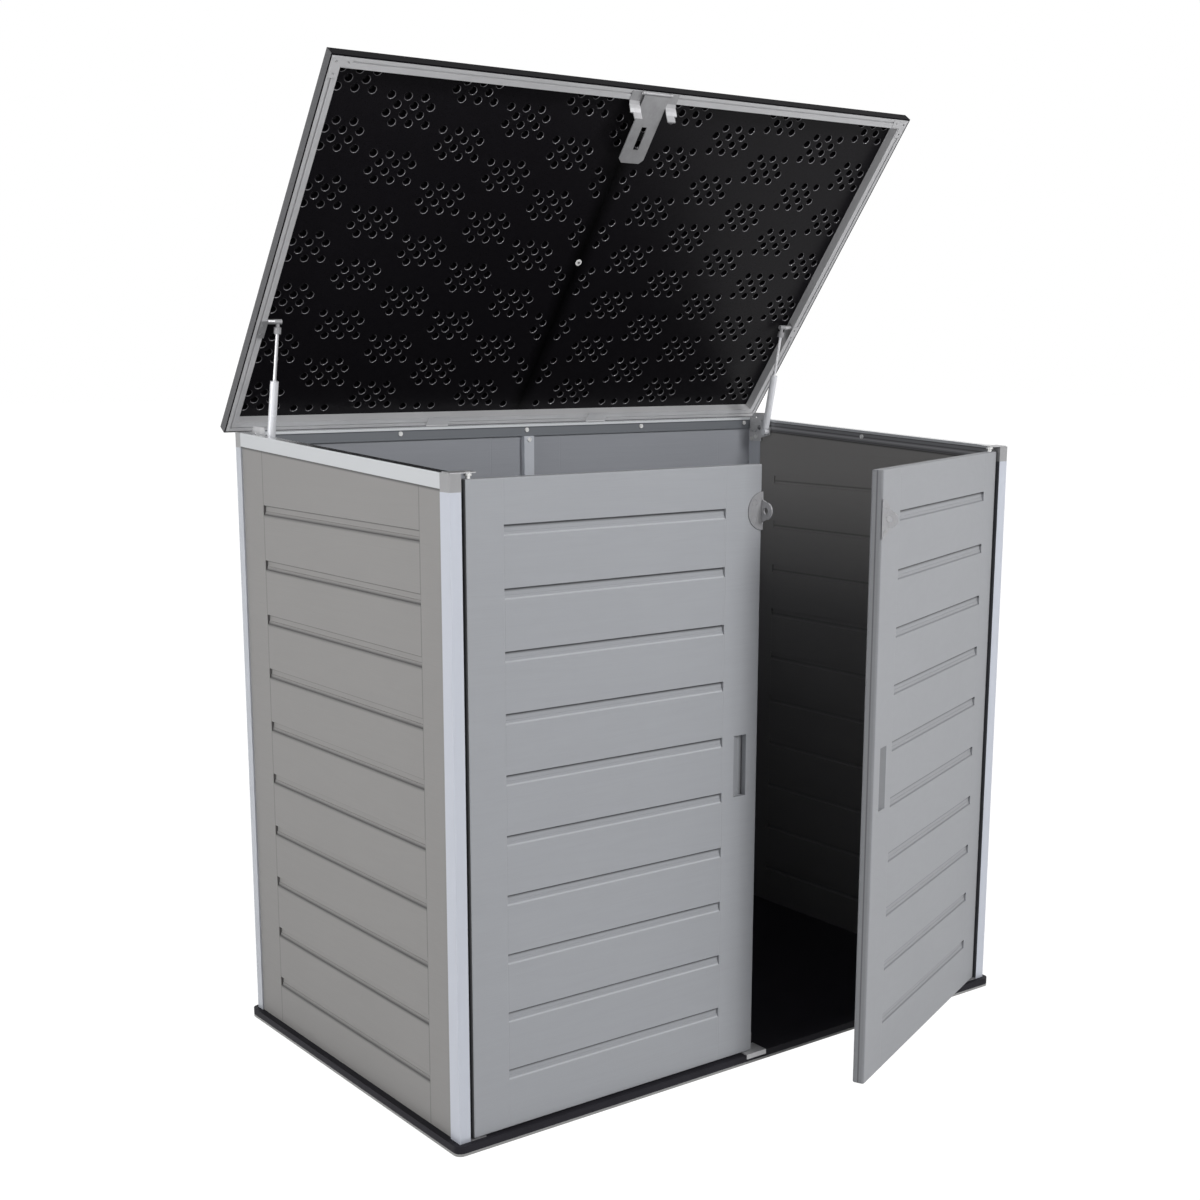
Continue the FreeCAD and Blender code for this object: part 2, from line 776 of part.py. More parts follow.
def lid_plug():
    x, y = mid_x, lid_y(plug_from_back)
    head = rod_z(plug_r, lid_z(lid_recess - plug_head), lid_z(lid_recess), x, y)
    shank = rod_z(plug_shank_r, lid_z(lid_recess), lid_z(lid_top), x, y)
    cap = rod_z(plug_r, lid_z(lid_top), lid_z(lid_top + plug_head), x, y)
    plug = head.fuse(shank).fuse(cap)
    return plug.cut(rod_z(plug_hole_r, lid_z(lid_recess - plug_head), lid_z(lid_recess), x, y))


# Lid hinges

def hinge_centres():
    return [mid_x - hinge_spacing / 2, mid_x + hinge_spacing / 2]


def knuckle(x0, x1):
    ring = rod_x(knuckle_r, x0, x1, 0, 0)
    return ring.cut(rod_x(hinge_pin_r + running_fit, x0, x1, 0, 0))


def cabinet_leaves():
    leaves = []
    half, middle = hinge_wide / 2, knuckle_middle / 2 + knuckle_gap
    y0 = -knuckle_r - leaf_back_gap
    for x in hinge_centres():
        leaf = box(x - half, x + half, y0, y0 + leaf_thick, -leaf_low, -knuckle_r - knuckle_gap)
        for x0, x1 in ((x - half, x - middle), (x + middle, x + half)):
            stem = box(x0, x1, y0, y0 + leaf_thick, -knuckle_r - knuckle_gap, 0)
            stem = stem.cut(rod_x(knuckle_r - knuckle_weld, x0, x1, 0, 0))
            leaf = leaf.fuse(knuckle(x0, x1)).fuse(stem)
        leaf.translate(V(0, hinge_y, hinge_z))
        leaves.append(leaf)
    return leaves


def lid_leaves():
    leaves = []
    half, middle = hinge_wide / 2, knuckle_middle / 2
    y0 = -knuckle_r
    clear = knuckle_r + knuckle_gap
    for x in hinge_centres():
        stem = box(x - middle, x + middle, y0, y0 + leaf_thick, 0, clear)
        stem = stem.cut(rod_x(knuckle_r - knuckle_weld, x - middle, x + middle, 0, 0))
        riser = box(x - half, x + half, y0, y0 + leaf_thick, clear, lid_under)
        flat = box(x - half, x + half, y0 - leaf_on_lid, y0, lid_under - leaf_thick, lid_under)
        leaves.append(knuckle(x - middle, x + middle).fuse(stem).fuse(riser).fuse(flat))
    return leaves


def hinge_pins():
    half = hinge_wide / 2 + hinge_pin_past_leaf
    return [rod_x(hinge_pin_r, x - half, x + half, hinge_y, hinge_z) for x in hinge_centres()]


# Gas struts, in the plane x = strut_from_side

def lid_point(from_back, above, opened):
    """Where a point of the lid lies, in (y, z), when the lid stands opened degrees from shut."""
    angle = math.radians(slope_deg - opened)
    y, z = lid_y(from_back), lid_z(above)
    across, up = math.cos(angle), math.sin(angle)
    return (hinge_y + y * across - z * up, hinge_z + y * up + z * across)


strut_up_open = lid_point(strut_up_from_back, strut_up_high, lid_open)
strut_up_shut = lid_point(strut_up_from_back, strut_up_high, 0.0)


def strut_state(upper):
    dy, dz = upper[0] - strut_low_y, upper[1] - strut_low_z
    return math.hypot(dy, dz), math.degrees(math.atan2(-dy, dz))


strut_length_open, strut_lean_open = strut_state(strut_up_open)
strut_length_shut, strut_lean_shut = strut_state(strut_up_shut)


def on_strut(shape):
    """Drawn upright on the lower ball at the origin, then leaned forward to the open angle."""
    placed = shape.copy()
    placed.rotate(V(0, 0, 0), V(1, 0, 0), strut_lean_open)
    placed.translate(V(strut_from_side, strut_low_y, strut_low_z))
    return placed


def lower_bracket():
    """Perforated plate on the rail's inner face, with the ball stud of the strut.

    Its holes are placed as distances behind the foot's front edge and above the ball.
    """
    x0, x1 = post_face, post_face + strut_plate_thick
    back = depth - back_post_deep
    y, z = strut_low_y, strut_low_z
    top, low = z + strut_plate_above_ball, z - strut_plate_below_ball
    foot = back - strut_plate_foot
    round_ball = socket_r
    outline = [(back, low), (back, top - strut_plate_corner_drop), (back - strut_plate_corner, top),
               (y + ball_r, top), (y, z + 2 * round_ball), (y - round_ball, z + round_ball),
               (y - round_ball, z - round_ball), (foot, z - 2 * round_ball), (foot, low)]
    plate = prism_x(outline, x0, x1)
    plate = plate.cut(rod_x(strut_plate_hole_r, x0, x1, foot + strut_plate_hole_from_foot,
                            z + strut_plate_hole_above_ball))
    for behind, above in strut_plate_small_holes:
        plate = plate.cut(rod_x(strut_plate_small_hole_r, x0, x1, foot + behind, z + above))
    stud = rod_x(stud_r, x1, strut_from_side, y, z)
    ball = Part.makeSphere(ball_r, V(strut_from_side, y, z))
    return plate.fuse(stud).fuse(ball)


def strut_tube():
    """Lower socket, tube and gland in one closed cylinder."""
    socket = rod_x(socket_r, -socket_half, socket_half, 0, 0)
    neck = rod_z(socket_r - 2.0, 0, tube_from, 0, 0)
    body = rod_z(tube_r, tube_from, tube_to, 0, 0)
    tube = socket.fuse(neck).fuse(body)
    tube = tube.cut(rod_z(tube_bore_r, tube_from + tube_bottom_thick, tube_to - gland_thick, 0, 0))
    tube = tube.cut(rod_z(rod_r + running_fit, tube_to - gland_thick, tube_to, 0, 0))
    tube = tube.cut(Part.makeSphere(ball_r + running_fit, V(0, 0, 0)))
    tube = tube.cut(rod_x(stud_r + 1.0, -socket_half, 0, 0, 0))
    return tube


def strut_rod():
    """Piston rod with its piston, straight from inside the tube to the upper socket."""
    top = strut_length_open - socket_up_long + rod_seat
    low = tube_to - gland_thick - piston_below_gland
    shaft = rod_z(rod_r, low, top, 0, 0)
    piston = rod_z(tube_bore_r - running_fit, low - piston_long, low, 0, 0)
    return shaft.fuse(piston)


def upper_socket():
    """Rod end whose flat face stops just short of the lid's arm: the linkage's open pivot."""
    centre = strut_length_open
    face = strut_face_gap - upper_arm_short_of_axis
    low = centre - socket_up_long
    head = rod_x(upper_head_r, face, socket_half, 0, centre)
    neck = rod_z(upper_neck_r, low, centre, 0, 0)
    collar = rod_z(upper_collar_r, low, low + upper_collar_high, 0, 0)
    fitting = head.fuse(neck).fuse(collar)
    return fitting.cut(rod_z(rod_r, low, low + rod_seat, 0, 0))


def upper_bracket():
    """Strip on the frame's flange, with an ear against its web that carries the arm."""
    s, t = strut_up_from_back, strut_up_high
    arm_end = strut_from_side - upper_arm_short_of_axis
    ear0 = lid_x0 + frame_wide
    ear1 = ear0 + upper_ear_thick
    s1 = s + upper_plate_past_arm
    strip = lid_box(lid_x0 + upper_plate_from_rim, ear1, s1 - upper_plate_long, s1, -upper_plate_thick, 0)
    half = upper_arm_r + upper_ear_past_arm
    ear = lid_box(ear0, ear1, s - half, s + half, 0, t + half)
    arm = rod_x(upper_arm_r, ear1, arm_end, lid_y(s), lid_z(t))
    bracket = strip.fuse(ear).fuse(arm)
    first = s - upper_hole_from_arm
    for along in (first, first - upper_hole_spacing):
        x = lid_x0 + upper_hole_from_rim
        bracket = bracket.cut(rod_z(upper_hole_r, lid_z(-upper_plate_thick), lid_z(0), x, lid_y(along)))
    return bracket


# Hasp

def hasp_to_eye():
    """Distance from the hasp's pivot down to the lock eyes, with the lid and the doors shut."""
    return lid_point(hasp_pivot_from_back, -hasp_pivot_low, 0.0)[1] - eye_height


def hasp_ear(curve):
    """Section of an ear that curls down and in: shares of its reach and drop, given a thickness."""
    s = lid_long - hasp_plate_from_front - hasp_plate_deep
    outer = [(s - hasp_ear_reach * along, -hasp_plate_thick - hasp_ear_drop * down) for along, down in curve]
    inner = [(from_back + hasp_ear_thick, above) for from_back, above in reversed(outer)]
    return [(lid_y(from_back), lid_z(above)) for from_back, above in outer + inner]


def hasp_bracket():
    """Plate under the frame's front rail, with two lugs for the pin and two curled ears."""
    half = hasp_wide / 2 + hasp_ear_gap + hasp_ear_wide
    s1 = lid_long - hasp_plate_from_front
    plate = lid_box(mid_x - half, mid_x + half, s1 - hasp_plate_deep, s1, -hasp_plate_thick, 0)
    y, z = lid_y(hasp_pivot_from_back), lid_z(-hasp_pivot_low)
    x1 = mid_x - hasp_wide / 2 - hasp_lug_gap
    x0 = x1 - hasp_lug
    lug = rod_x(hasp_barrel_r, x0, x1, y, z)
    lug = lug.fuse(box(x0, x1, y - hasp_barrel_r, y + hasp_barrel_r, z, lid_z(-hasp_plate_thick)))
    lug = lug.cut(rod_x(hasp_pin_r + running_fit, x0, x1, y, z))
    ear1 = mid_x - hasp_wide / 2 - hasp_ear_gap
    ear = prism_x(hasp_ear(hasp_ear_curve[:-1]), ear1 - hasp_ear_wide, ear1)
    ear = ear.fuse(prism_x(hasp_ear(hasp_ear_curve), ear1 - hasp_ear_foot_wide, ear1))
    for piece in (lug, ear):
        plate = plate.fuse(piece).fuse(mirrored(piece))
    return plate


def hasp_tongue():
    """Slotted tongue with a rolled barrel, folded back under the lid."""
    y, z = lid_y(hasp_pivot_from_back), lid_z(-hasp_pivot_low)
    x0, x1 = mid_x - hasp_wide / 2, mid_x + hasp_wide / 2
    z_low = z - hasp_barrel_r + hasp_barrel_proud
    z_high = z_low + hasp_thick
    slot0 = y + hasp_to_eye() - hasp_slot_long / 2
    slot1 = slot0 + hasp_slot_long
    far = slot1 + hasp_tip
    c = hasp_chamfer
    outline = [(x0, y), (x1, y), (x1, far - c), (x1 - c, far), (x0 + c, far), (x0, far - c)]
    tongue = prism_z(outline, z_low, z_high)
    tongue = tongue.fuse(rod_x(hasp_barrel_r, x0, x1, y, z))
    tongue = tongue.cut(rod_x(hasp_pin_r + running_fit, x0, x1, y, z))
    half = hasp_slot_wide / 2
    return tongue.cut(box(mid_x - half, mid_x + half, slot0, slot1, z_low, z_high))


def hasp_pin():
    half = hasp_wide / 2 + hasp_lug_gap + hasp_lug + hasp_pin_past_lug
    y, z = lid_y(hasp_pivot_from_back), lid_z(-hasp_pivot_low)
    return rod_x(hasp_pin_r, mid_x - half, mid_x + half, y, z)


# Fasteners

def screw_places():
    """Head seat, driving direction and length of each screw in the frame."""
    z_back = back_height - rail_height / 2
    across = [rail_end_screw, rail_mid_screw, width - rail_mid_screw, width - rail_end_screw, mid_x]
    places = [(V(x, back_face, z_back), V(0, 1, 0), screw_long) for x in across]
    low, high = floor_thick + post_screw_low, rail_low - post_screw_below_rail
    for z in (low, (low + high) / 2, high):
        places.append((V(mid_x, panel_back_y - centre_post_deep, z), V(0, 1, 0), post_screw_long))
    y_side = depth / 2
    seats = [(post_face, y_side, at_height(y_side, rail_height / 2))]
    for from_back, below in strut_plate_screws:
        seats.append((post_face + strut_plate_thick, depth - from_back, strut_low_z - below))
    for x, y, z in seats:
        places.append((V(x, y, z), V(-1, 0, 0), screw_long))
        places.append((V(width - x, y, z), V(1, 0, 0), screw_long))
    return places


def frame_screws():
    """Pan-head screws through the rails, the centre post and the strut plates into the panels."""
    screws = []
    for seat, into, long in screw_places():
        head = Part.makeCylinder(screw_head_r, screw_head, seat, -into)
        shank = Part.makeCylinder(screw_shank_r, long, seat, into)
        screws.append(head.fuse(shank))
    return screws


def drilled(shape):
    """Clearance holes for the frame's screws."""
    for seat, into, long in screw_places():
        shape = shape.cut(Part.makeCylinder(screw_shank_r + screw_fit, long, seat, into))
    return shape


save("base_floor", base_floor())
save("base_trim", base_trim())
save_pair("post_front", front_post())
save_pair("post_back", drilled(back_post()))
save_pair("cap_front", front_cap())
save_pair("cap_back", back_cap())
save_pair("rail", drilled(side_rail()))
save("rail_back", drilled(back_rail()))
save_pair("panel_side", drilled(side_panel()))
save_pair("panel_back", drilled(back_panel()))
save("post_back_centre", drilled(centre_post()))
save("frame_screws", frame_screws())

door_left = door()
save("door_left", door_left)
save("door_right", door_at_rest([door_left]))
save("lock_eye_left", lock_eye())
save("lock_eye_right", door_at_rest([lock_eye()]))
save("eye_rivets_left", eye_rivets())
save("eye_rivets_right", door_at_rest(eye_rivets()))
save_pair("pivot_plate_top", top_pivot_plate())
save_pair("pivot_plate_foot", foot_plate())
save("pivot_pins_top", [top_pivot_pin(), mirrored(top_pivot_pin())])
save("pivot_pins_foot", [foot_pin(), mirrored(foot_pin())])
save("centre_catch", centre_catch())

lid_left, lid_right = lid_halves()
save_lid("lid_panel_left", lid_left)
save_lid("lid_panel_right", lid_right)
save_lid("lid_frame_left", side_frame_rail())
save_lid("lid_frame_right", mirrored(side_frame_rail()))
save_lid("lid_frame_front", front_frame_rail())
save_lid("lid_frame_back", back_frame_rail())
save_lid("lid_corner_plates", corner_plates())
save_lid("lid_plug", lid_plug())
save_lid("hinge_leaves_lid", lid_leaves())
save("hinge_leaves_cabinet", cabinet_leaves())
save("hinge_pins", hinge_pins())

save_pair("strut_bracket_low", drilled(lower_bracket()))
save_pair("strut_tube", on_strut(strut_tube()))
save_pair("strut_rod", on_strut(strut_rod()))
save_pair("strut_socket_up", on_strut(upper_socket()))
save_lid("strut_bracket_up_left", upper_bracket())
save_lid("strut_bracket_up_right", mirrored(upper_bracket()))

save_lid("hasp_bracket", hasp_bracket())
save_lid("hasp_tongue", hasp_tongue())
save_lid("hasp_pin", hasp_pin())

print("strut open", round(strut_length_open, 3), round(strut_lean_open, 3),
      "shut", round(strut_length_shut, 3), round(strut_lean_shut, 3))
print("hinge axis y, z", round(hinge_y - depth / 2, 3), hinge_z)
print("roof slope", round(slope_deg, 3))
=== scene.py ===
# %% [markdown]
# # Garden storage cabinet
# A cabinet of grey and black resin: silver posts and rails hold grooved panels, two doors open
# at the front, and two gas struts hold up a black lid. Its parts come from the packed CAD
# model, already in place and on the bodies that move them. They could be modelled again here,
# but then the two models could drift apart, so this scene keeps the CAD shapes and gives them
# materials. Only the lid's two panels are replaced, by meshes with the dimples that the solids
# leave out. Lengths are in metres. X runs right, Y to the back and Z up.

# %% Load the frame
import math

import bmesh
import bpy
from mathutils import Matrix, Vector


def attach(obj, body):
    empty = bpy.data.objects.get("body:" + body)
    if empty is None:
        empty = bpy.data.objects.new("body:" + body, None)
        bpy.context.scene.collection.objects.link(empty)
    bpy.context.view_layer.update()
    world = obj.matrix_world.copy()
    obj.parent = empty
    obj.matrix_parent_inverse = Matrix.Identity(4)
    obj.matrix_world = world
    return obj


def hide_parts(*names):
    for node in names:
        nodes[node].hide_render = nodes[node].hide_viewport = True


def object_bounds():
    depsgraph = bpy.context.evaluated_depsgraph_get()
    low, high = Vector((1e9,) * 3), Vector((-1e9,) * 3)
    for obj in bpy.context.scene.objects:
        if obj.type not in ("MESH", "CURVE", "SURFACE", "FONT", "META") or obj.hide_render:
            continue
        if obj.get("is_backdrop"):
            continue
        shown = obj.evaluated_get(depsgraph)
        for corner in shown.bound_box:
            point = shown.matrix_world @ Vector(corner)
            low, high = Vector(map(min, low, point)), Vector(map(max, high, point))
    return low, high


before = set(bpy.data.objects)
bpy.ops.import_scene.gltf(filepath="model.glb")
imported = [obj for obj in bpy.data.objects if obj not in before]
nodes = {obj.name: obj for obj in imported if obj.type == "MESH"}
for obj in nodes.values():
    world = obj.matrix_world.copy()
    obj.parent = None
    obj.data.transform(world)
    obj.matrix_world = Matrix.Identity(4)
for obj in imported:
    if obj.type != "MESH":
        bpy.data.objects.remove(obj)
cad_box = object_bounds()
print(len(nodes), "nodes", "box", [tuple(round(v, 3) for v in corner) for corner in cad_box])

# %% [markdown]
# ## Numbers in a shader
# A finish changes from place to place: a groove's edge is dark, and a seam is darker still.
# Such a pattern could be wired by hand from dozens of Math nodes. Here `Num` wraps one number
# inside a shader, and each operator adds its Math node, so that a pattern reads as a formula
# and is easy to change.

# %% A number in a shader
class Num:
    """One number in a shader. The usual operators build the Math nodes."""

    def __init__(self, look, socket):
        self.look, self.socket = look, socket

    def math(self, operation, other=None, swap=False, **settings):
        """A Math node on this number and another one, or the other way round."""
        operands = (other, self) if swap else (self, other)
        numbered = {number: value for number, value in enumerate(operands) if value is not None}
        made = self.look.node("Math", {"operation": operation, **settings}, numbered)
        return Num(self.look, made.outputs[0])

    def __add__(self, other):
        return self.math("ADD", other)

    def __sub__(self, other):
        return self.math("SUBTRACT", other)

    def __rsub__(self, other):
        return self.math("SUBTRACT", other, swap=True)

    def __mul__(self, other):
        return self.math("MULTIPLY", other)

    def __truediv__(self, other):
        return self.math("DIVIDE", other)

    def __rtruediv__(self, other):
        return self.math("DIVIDE", other, swap=True)

    def __abs__(self):
        return self.math("ABSOLUTE")

    __radd__ = __add__
    __rmul__ = __mul__

    def below(self, other):
        return self.math("LESS_THAN", other)

    def above(self, other):
        return self.math("GREATER_THAN", other)

    def within(self, ends):
        """1 between two ends, which may come in either order, and 0 elsewhere."""
        low, high = sorted(ends)
        return self.above(low) * self.below(high)

    def near(self, middle, half):
        """1 at the middle, falling to 0 at half a width from it."""
        return (1.0 - abs(self - middle) / half).clamped()

    def clamped(self):
        """The same number, held between 0 and 1."""
        return self.math("ADD", 0.0, use_clamp=True)


print("one number can also be asked for:", [name for name in vars(Num) if name[0] != "_"])

# %% [markdown]
# ## A material
# Resin, painted metal and plated steel all come from one Principled shader, with different
# numbers in it. The other nodes could be added one by one with their full names. `Look` keeps a
# material and its node tree together and makes every node with one method, which takes a kind,
# settings and sockets, so that each finish below stays a few lines long.

# %% A material and its nodes
def spoken(name):
    """A socket's name as Blender shows it."""
    return name.replace("_", " ").title().replace("Ior", "IOR")


class Look:
    """One material: a principled shader and the nodes that feed it."""

    def __init__(self, name, **constants):
        self.material = bpy.data.materials.new(name)
        self.material.use_nodes = True
        self.tree = self.material.node_tree
        self.shader = self.tree.nodes["Principled BSDF"]
        for socket, value in constants.items():
            self.set(socket, value)

    def set(self, name, value):
        """Gives one socket of the main shader a value or a link."""
        self.feed(self.shader.inputs[spoken(name)], value)

    def feed(self, socket, value):
        """Links a socket to a node's output, or writes a number, vector or colour to it."""
        if isinstance(value, Num):
            value = value.socket
        if isinstance(value, bpy.types.NodeSocket):
            self.tree.links.new(value, socket)
        elif socket.type == "RGBA":
            socket.default_value = (*value, 1)
        else:
            socket.default_value = value

    def node(self, kind, settings=None, numbered=None, **named):
        """Any node: its kind, its settings, then its sockets by number or by name."""
        made = self.tree.nodes.new("ShaderNode" + kind)
        for name, value in (settings or {}).items():
            if name == "stops":
                for element, (position, colour) in zip(made.color_ramp.elements, value):
                    element.position, element.color = position, (*colour, 1)
            else:
                setattr(made, name, value)
        for number, value in (numbered or {}).items():
            self.feed(made.inputs[number], value)
        for name, value in named.items():
            self.feed(made.inputs[spoken(name)], value)
        return made


print("a socket's name:", spoken("specular_ior_level"))

# %% [markdown]
# ## Places, noise and colours
# No two spots on moulded resin or plated steel look quite alike. A photographed texture could
# show that, but it needs unwrapping, and it repeats. Noise that is worked out in the object's
# own coordinates needs neither, and it stays on its part when a door or the lid moves.

# %% Places and noise
def place(look, turn=0.0, scale=(1, 1, 1)):
    """The point being shaded, in the cabinet's own frame at rest."""
    here = look.node("TexCoord").outputs["Object"]
    return look.node("Mapping", vector=here, rotation=(0, 0, turn), scale=scale).outputs[0]


def xyz(look, turn=0.0):
    """The three coordinates of that point, as numbers."""
    split = look.node("SeparateXYZ", vector=place(look, turn))
    return [Num(look, output) for output in split.outputs]


def noise(look, scale, detail, distortion=0.0, turn=0.0):
    """Soft random spots; the scale says how many there are to a metre along each axis."""
    made = look.node("TexNoise", vector=place(look, turn, scale), scale=1.0, detail=detail,
                     roughness=0.55, distortion=distortion)
    return Num(look, made.outputs[0])


print("places and noise ready")

# %% Colours and relief
def mix(look, share, first, second):
    """The first colour, with a share of the second."""
    return look.node("Mix", {"data_type": "RGBA"}, {0: share, 6: first, 7: second}).outputs[2]


def ramp(look, value, *stops):
    """Colours between two stops, each with its position from 0 to 1 and its colour."""
    return look.node("ValToRGB", {"stops": stops}, {0: value}).outputs[0]


def uneven(value, middle, spread):
    """A number that strays to both sides of its middle as the value goes from 0 to 1."""
    return value * spread + (middle - spread / 2)


def relief(look, height, depth):
    """Bump of a height between 0 and 1, as deep as the distance in metres."""
    look.set("normal", look.node("Bump", height=height, distance=depth, strength=1.0).outputs[0])


def shades(colour, spread):
    """A darker and a lighter neighbour of a colour."""
    return [tuple(channel * (1 + side * spread) for channel in colour) for side in (-1, 1)]


def mottled(look, value, colour, spread, ends=(0.3, 0.7)):
    """A colour that goes from its darker to its lighter neighbour between two ends of a value."""
    dark, light = shades(colour, spread)
    return ramp(look, value, (ends[0], dark), (ends[1], light))


print("neighbours of a middle grey:", shades((0.5, 0.5, 0.5), 0.1))

# %% [markdown]
# ## Grooves between the planks
# The panels and doors are moulded to look like boards, with ten shallow grooves each. The grooves are in
# the CAD shapes. Their edges also show fine dark and pale lines, the shade and light of the grooves,
# narrower than a soft studio light brings out. So the dark lines are painted shade and the pale ones are
# painted highlight. They could be painted on an image, but the image would have to be unwrapped and very
# large. Here they follow from the height of each point, with the pitch that the grooves have.

# %% Evenly spaced grooves
class Grooves:
    """Grooves, by the top edge of the lowest one, the pitch and how many there are.

    The marks reach a little over the highest groove's top edge and under the lowest one.
    """

    over, under = 0.001, 0.04

    def __init__(self, low, pitch, count):
        self.low, self.pitch = low, pitch
        self.high = low + pitch * (count - 1)

    def down(self, z):
        """Distance down from the top edge of the nearest groove above."""
        return (self.low - z).math("FLOORED_MODULO", self.pitch)

    def reach(self, z):
        """1 over the height that has grooves."""
        return z.below(self.high + self.over) * z.above(self.low - self.under)


SIDE_GROOVES = Grooves(low=0.1093, pitch=0.09986, count=10)
DOOR_GROOVES = Grooves(low=0.1215, pitch=0.0997, count=10)
print("highest grooves at", round(SIDE_GROOVES.high, 4), round(DOOR_GROOVES.high, 4))

# %% [markdown]
# ## Resin with wood grain
# The resin has a fine wood grain embossed along the planks, and a thin line runs from top to
# bottom where they end. Modelled grain would need millions of faces, and at this size it only
# stirs the light. So it is a bump from two noises that are drawn out along the planks, a fine
# one for the fibres and a broad one folded into rings. The same noises stir colour and gloss.

# %% Grained resin
# Marks to a metre along each axis, where the planks run along X or along Y.
FINE_GRAIN = {"x": (9, 60, 420), "y": (60, 9, 420)}
BROAD_GRAIN = {"x": (1.6, 20, 17), "y": (20, 1.6, 17)}
BLOTCHES = (3.1, 3.1, 2.3)
RINGS, END_LINE_HALF, GRAIN_DEPTH = 14.0, 0.0012, 0.0006
# What the fibres, the rings and the end lines add to the height.
FIBRES_HIGH, RINGS_HIGH, LINES_HIGH = 0.3, 0.1, 0.55
# What the blotches, the fibres and the rings add to the colour's stray.
BLOTCHES_SEEN, FIBRES_SEEN, RINGS_SEEN = 0.5, 0.38, 0.1
RESIN_SPREAD, RESIN_ENDS = 0.035, (0.25, 0.75)
RESIN_ROUGH, RESIN_ROUGH_SPREAD = 0.5, 0.16


def grained(name, colour, along, lines, shade=None, turn=0.0, gloss=0.25):
    """Embossed resin; along is the planks' direction and lines are where the planks end."""
    look = Look(name, metallic=0.0, specular_ior_level=gloss)
    fine = noise(look, FINE_GRAIN[along], detail=4.0, distortion=0.25, turn=turn)
    figure = noise(look, BROAD_GRAIN[along], detail=2.0, distortion=0.6, turn=turn)
    rings = (figure * RINGS).math("PINGPONG", 1.0)
    x, y, z = xyz(look, turn)
    across = {"x": x, "y": y}[along]
    off_lines = math.prod((abs(across - line) / END_LINE_HALF).clamped() for line in lines)
    relief(look, fine * FIBRES_HIGH + rings * RINGS_HIGH + off_lines * LINES_HIGH, GRAIN_DEPTH)
    blotches = noise(look, BLOTCHES, detail=5.0)
    stray = blotches * BLOTCHES_SEEN + fine * FIBRES_SEEN + rings * RINGS_SEEN
    tone = mottled(look, stray, colour, RESIN_SPREAD, RESIN_ENDS)
    for share, towards in shade(x, y, z) if shade else ():
        tone = mix(look, share.clamped(), tone, towards)
    look.set("base_color", tone)
    look.set("roughness", uneven(fine, RESIN_ROUGH, RESIN_ROUGH_SPREAD))
    return look.material


BACK_LINES = (-0.521, -0.086, 0.086, 0.521)
resin_back = grained("resin_back", (0.275, 0.285, 0.31), "x", BACK_LINES)
print("back panels:", resin_back.name, len(resin_back.node_tree.nodes), "shader nodes")

# %% [markdown]
# ## Side panels
# Outside, each groove shows a dark line at its top edge and one at its foot, and dark lines run down the
# plank ends and under the rail's edge. Inside, the panels fade to near black towards the floor, because
# a cabinet swallows light. The lines could come from deeper grooves and the dark from less light, but
# both would change the rest too. So all of them are painted shade in the colour. A shade yields them one
# by one: how much of a mark there is at a place, and the mark's colour. A line is written as its middle,
# half width and strength.

# %% Side panels
HALF_DEEP = 0.37
SIDE_LINES = (0.095 - HALF_DEEP, 0.640 - HALF_DEEP)
PANEL_MIDDLE = 0.624
# Painted shade: lines at each groove's top edge, foot and inner side, at the plank ends and under the
# rail's edge, and the inside darker towards the floor.
SIDE_TOP_LINE, SIDE_FOOT_LINE = (0.0009, 0.0026, 0.95), (0.0172, 0.005, 0.7)
SIDE_INNER_LINE = (0.011, 0.003, 0.5)
END_LINE_HALF_SEEN, END_LINE_DARK = 0.002, 0.5
DARK_BELOW, DARK_RATE, INSIDE_DARK = 1.04, 1.8, 0.5
RAIL_SLOPE, RAIL_FOOT, RAIL_EDGE_LINE = 0.04865, 1.075, (0.002, 0.0035, 0.9)
shadow_grey = (0.05, 0.05, 0.052)


def mark(along, line, *masks):
    """A line's share at a place: its middle, half width and strength, inside the masks."""
    middle, half, strength = line
    return math.prod(masks, start=along.near(middle, half)) * strength


def side_shade(x, y, z):
    """Painted shade: fine dark lines at the grooves, outside and inside, at the plank ends and under the
    rail's edge, and dark inside lower down.
    """
    down = SIDE_GROOVES.down(z)
    planks = y.within(SIDE_LINES) * SIDE_GROOVES.reach(z)
    outer, inner = abs(x).above(PANEL_MIDDLE), abs(x).below(PANEL_MIDDLE)
    for end in SIDE_LINES:
        yield mark(y, (end, END_LINE_HALF_SEEN, END_LINE_DARK), outer), shadow_grey
    yield ((DARK_BELOW - z) * DARK_RATE).clamped() * inner * INSIDE_DARK, shadow_grey
    yield mark(down, SIDE_TOP_LINE, planks, outer), shadow_grey
    yield mark(down, SIDE_FOOT_LINE, planks, outer), shadow_grey
    yield mark(down, SIDE_INNER_LINE, planks, inner), shadow_grey
    rail_foot = RAIL_FOOT + (y + HALF_DEEP) * RAIL_SLOPE
    yield mark(rail_foot - z, RAIL_EDGE_LINE), shadow_grey


resin_side = grained("resin_side", (0.262, 0.256, 0.250), "y", SIDE_LINES, side_shade)
print("side panels:", resin_side.name, len(resin_side.node_tree.nodes), "shader nodes")

# %% [markdown]
# ## Doors
# The doors have finer lines of painted shade at their grooves, with a painted highlight at each groove's
# foot on the left door, and painted shade in the finger recess and along the edges. Both could share one
# material, but the right door stands 23 degrees open at rest, so a pattern in the cabinet's frame would
# run across it at a slant. Its pattern is turned with it, and each place on the left door is mirrored to
# the right one. As it faces more light, its colour is painted a little darker, and its groove feet take
# painted shade.

# %% Places on the doors
HALF_WIDE = 0.635
DOOR_LINES = (0.0974 - HALF_WIDE, 0.5505 - HALF_WIDE)
HANDLE_X, HANDLE_Z = (-0.058, -0.029), (0.508, 0.619)
FREE_EDGE, HINGE_EDGE = (-0.0035, 0.0), (-0.610, -0.6065)
OPEN_AT_REST = -23.0

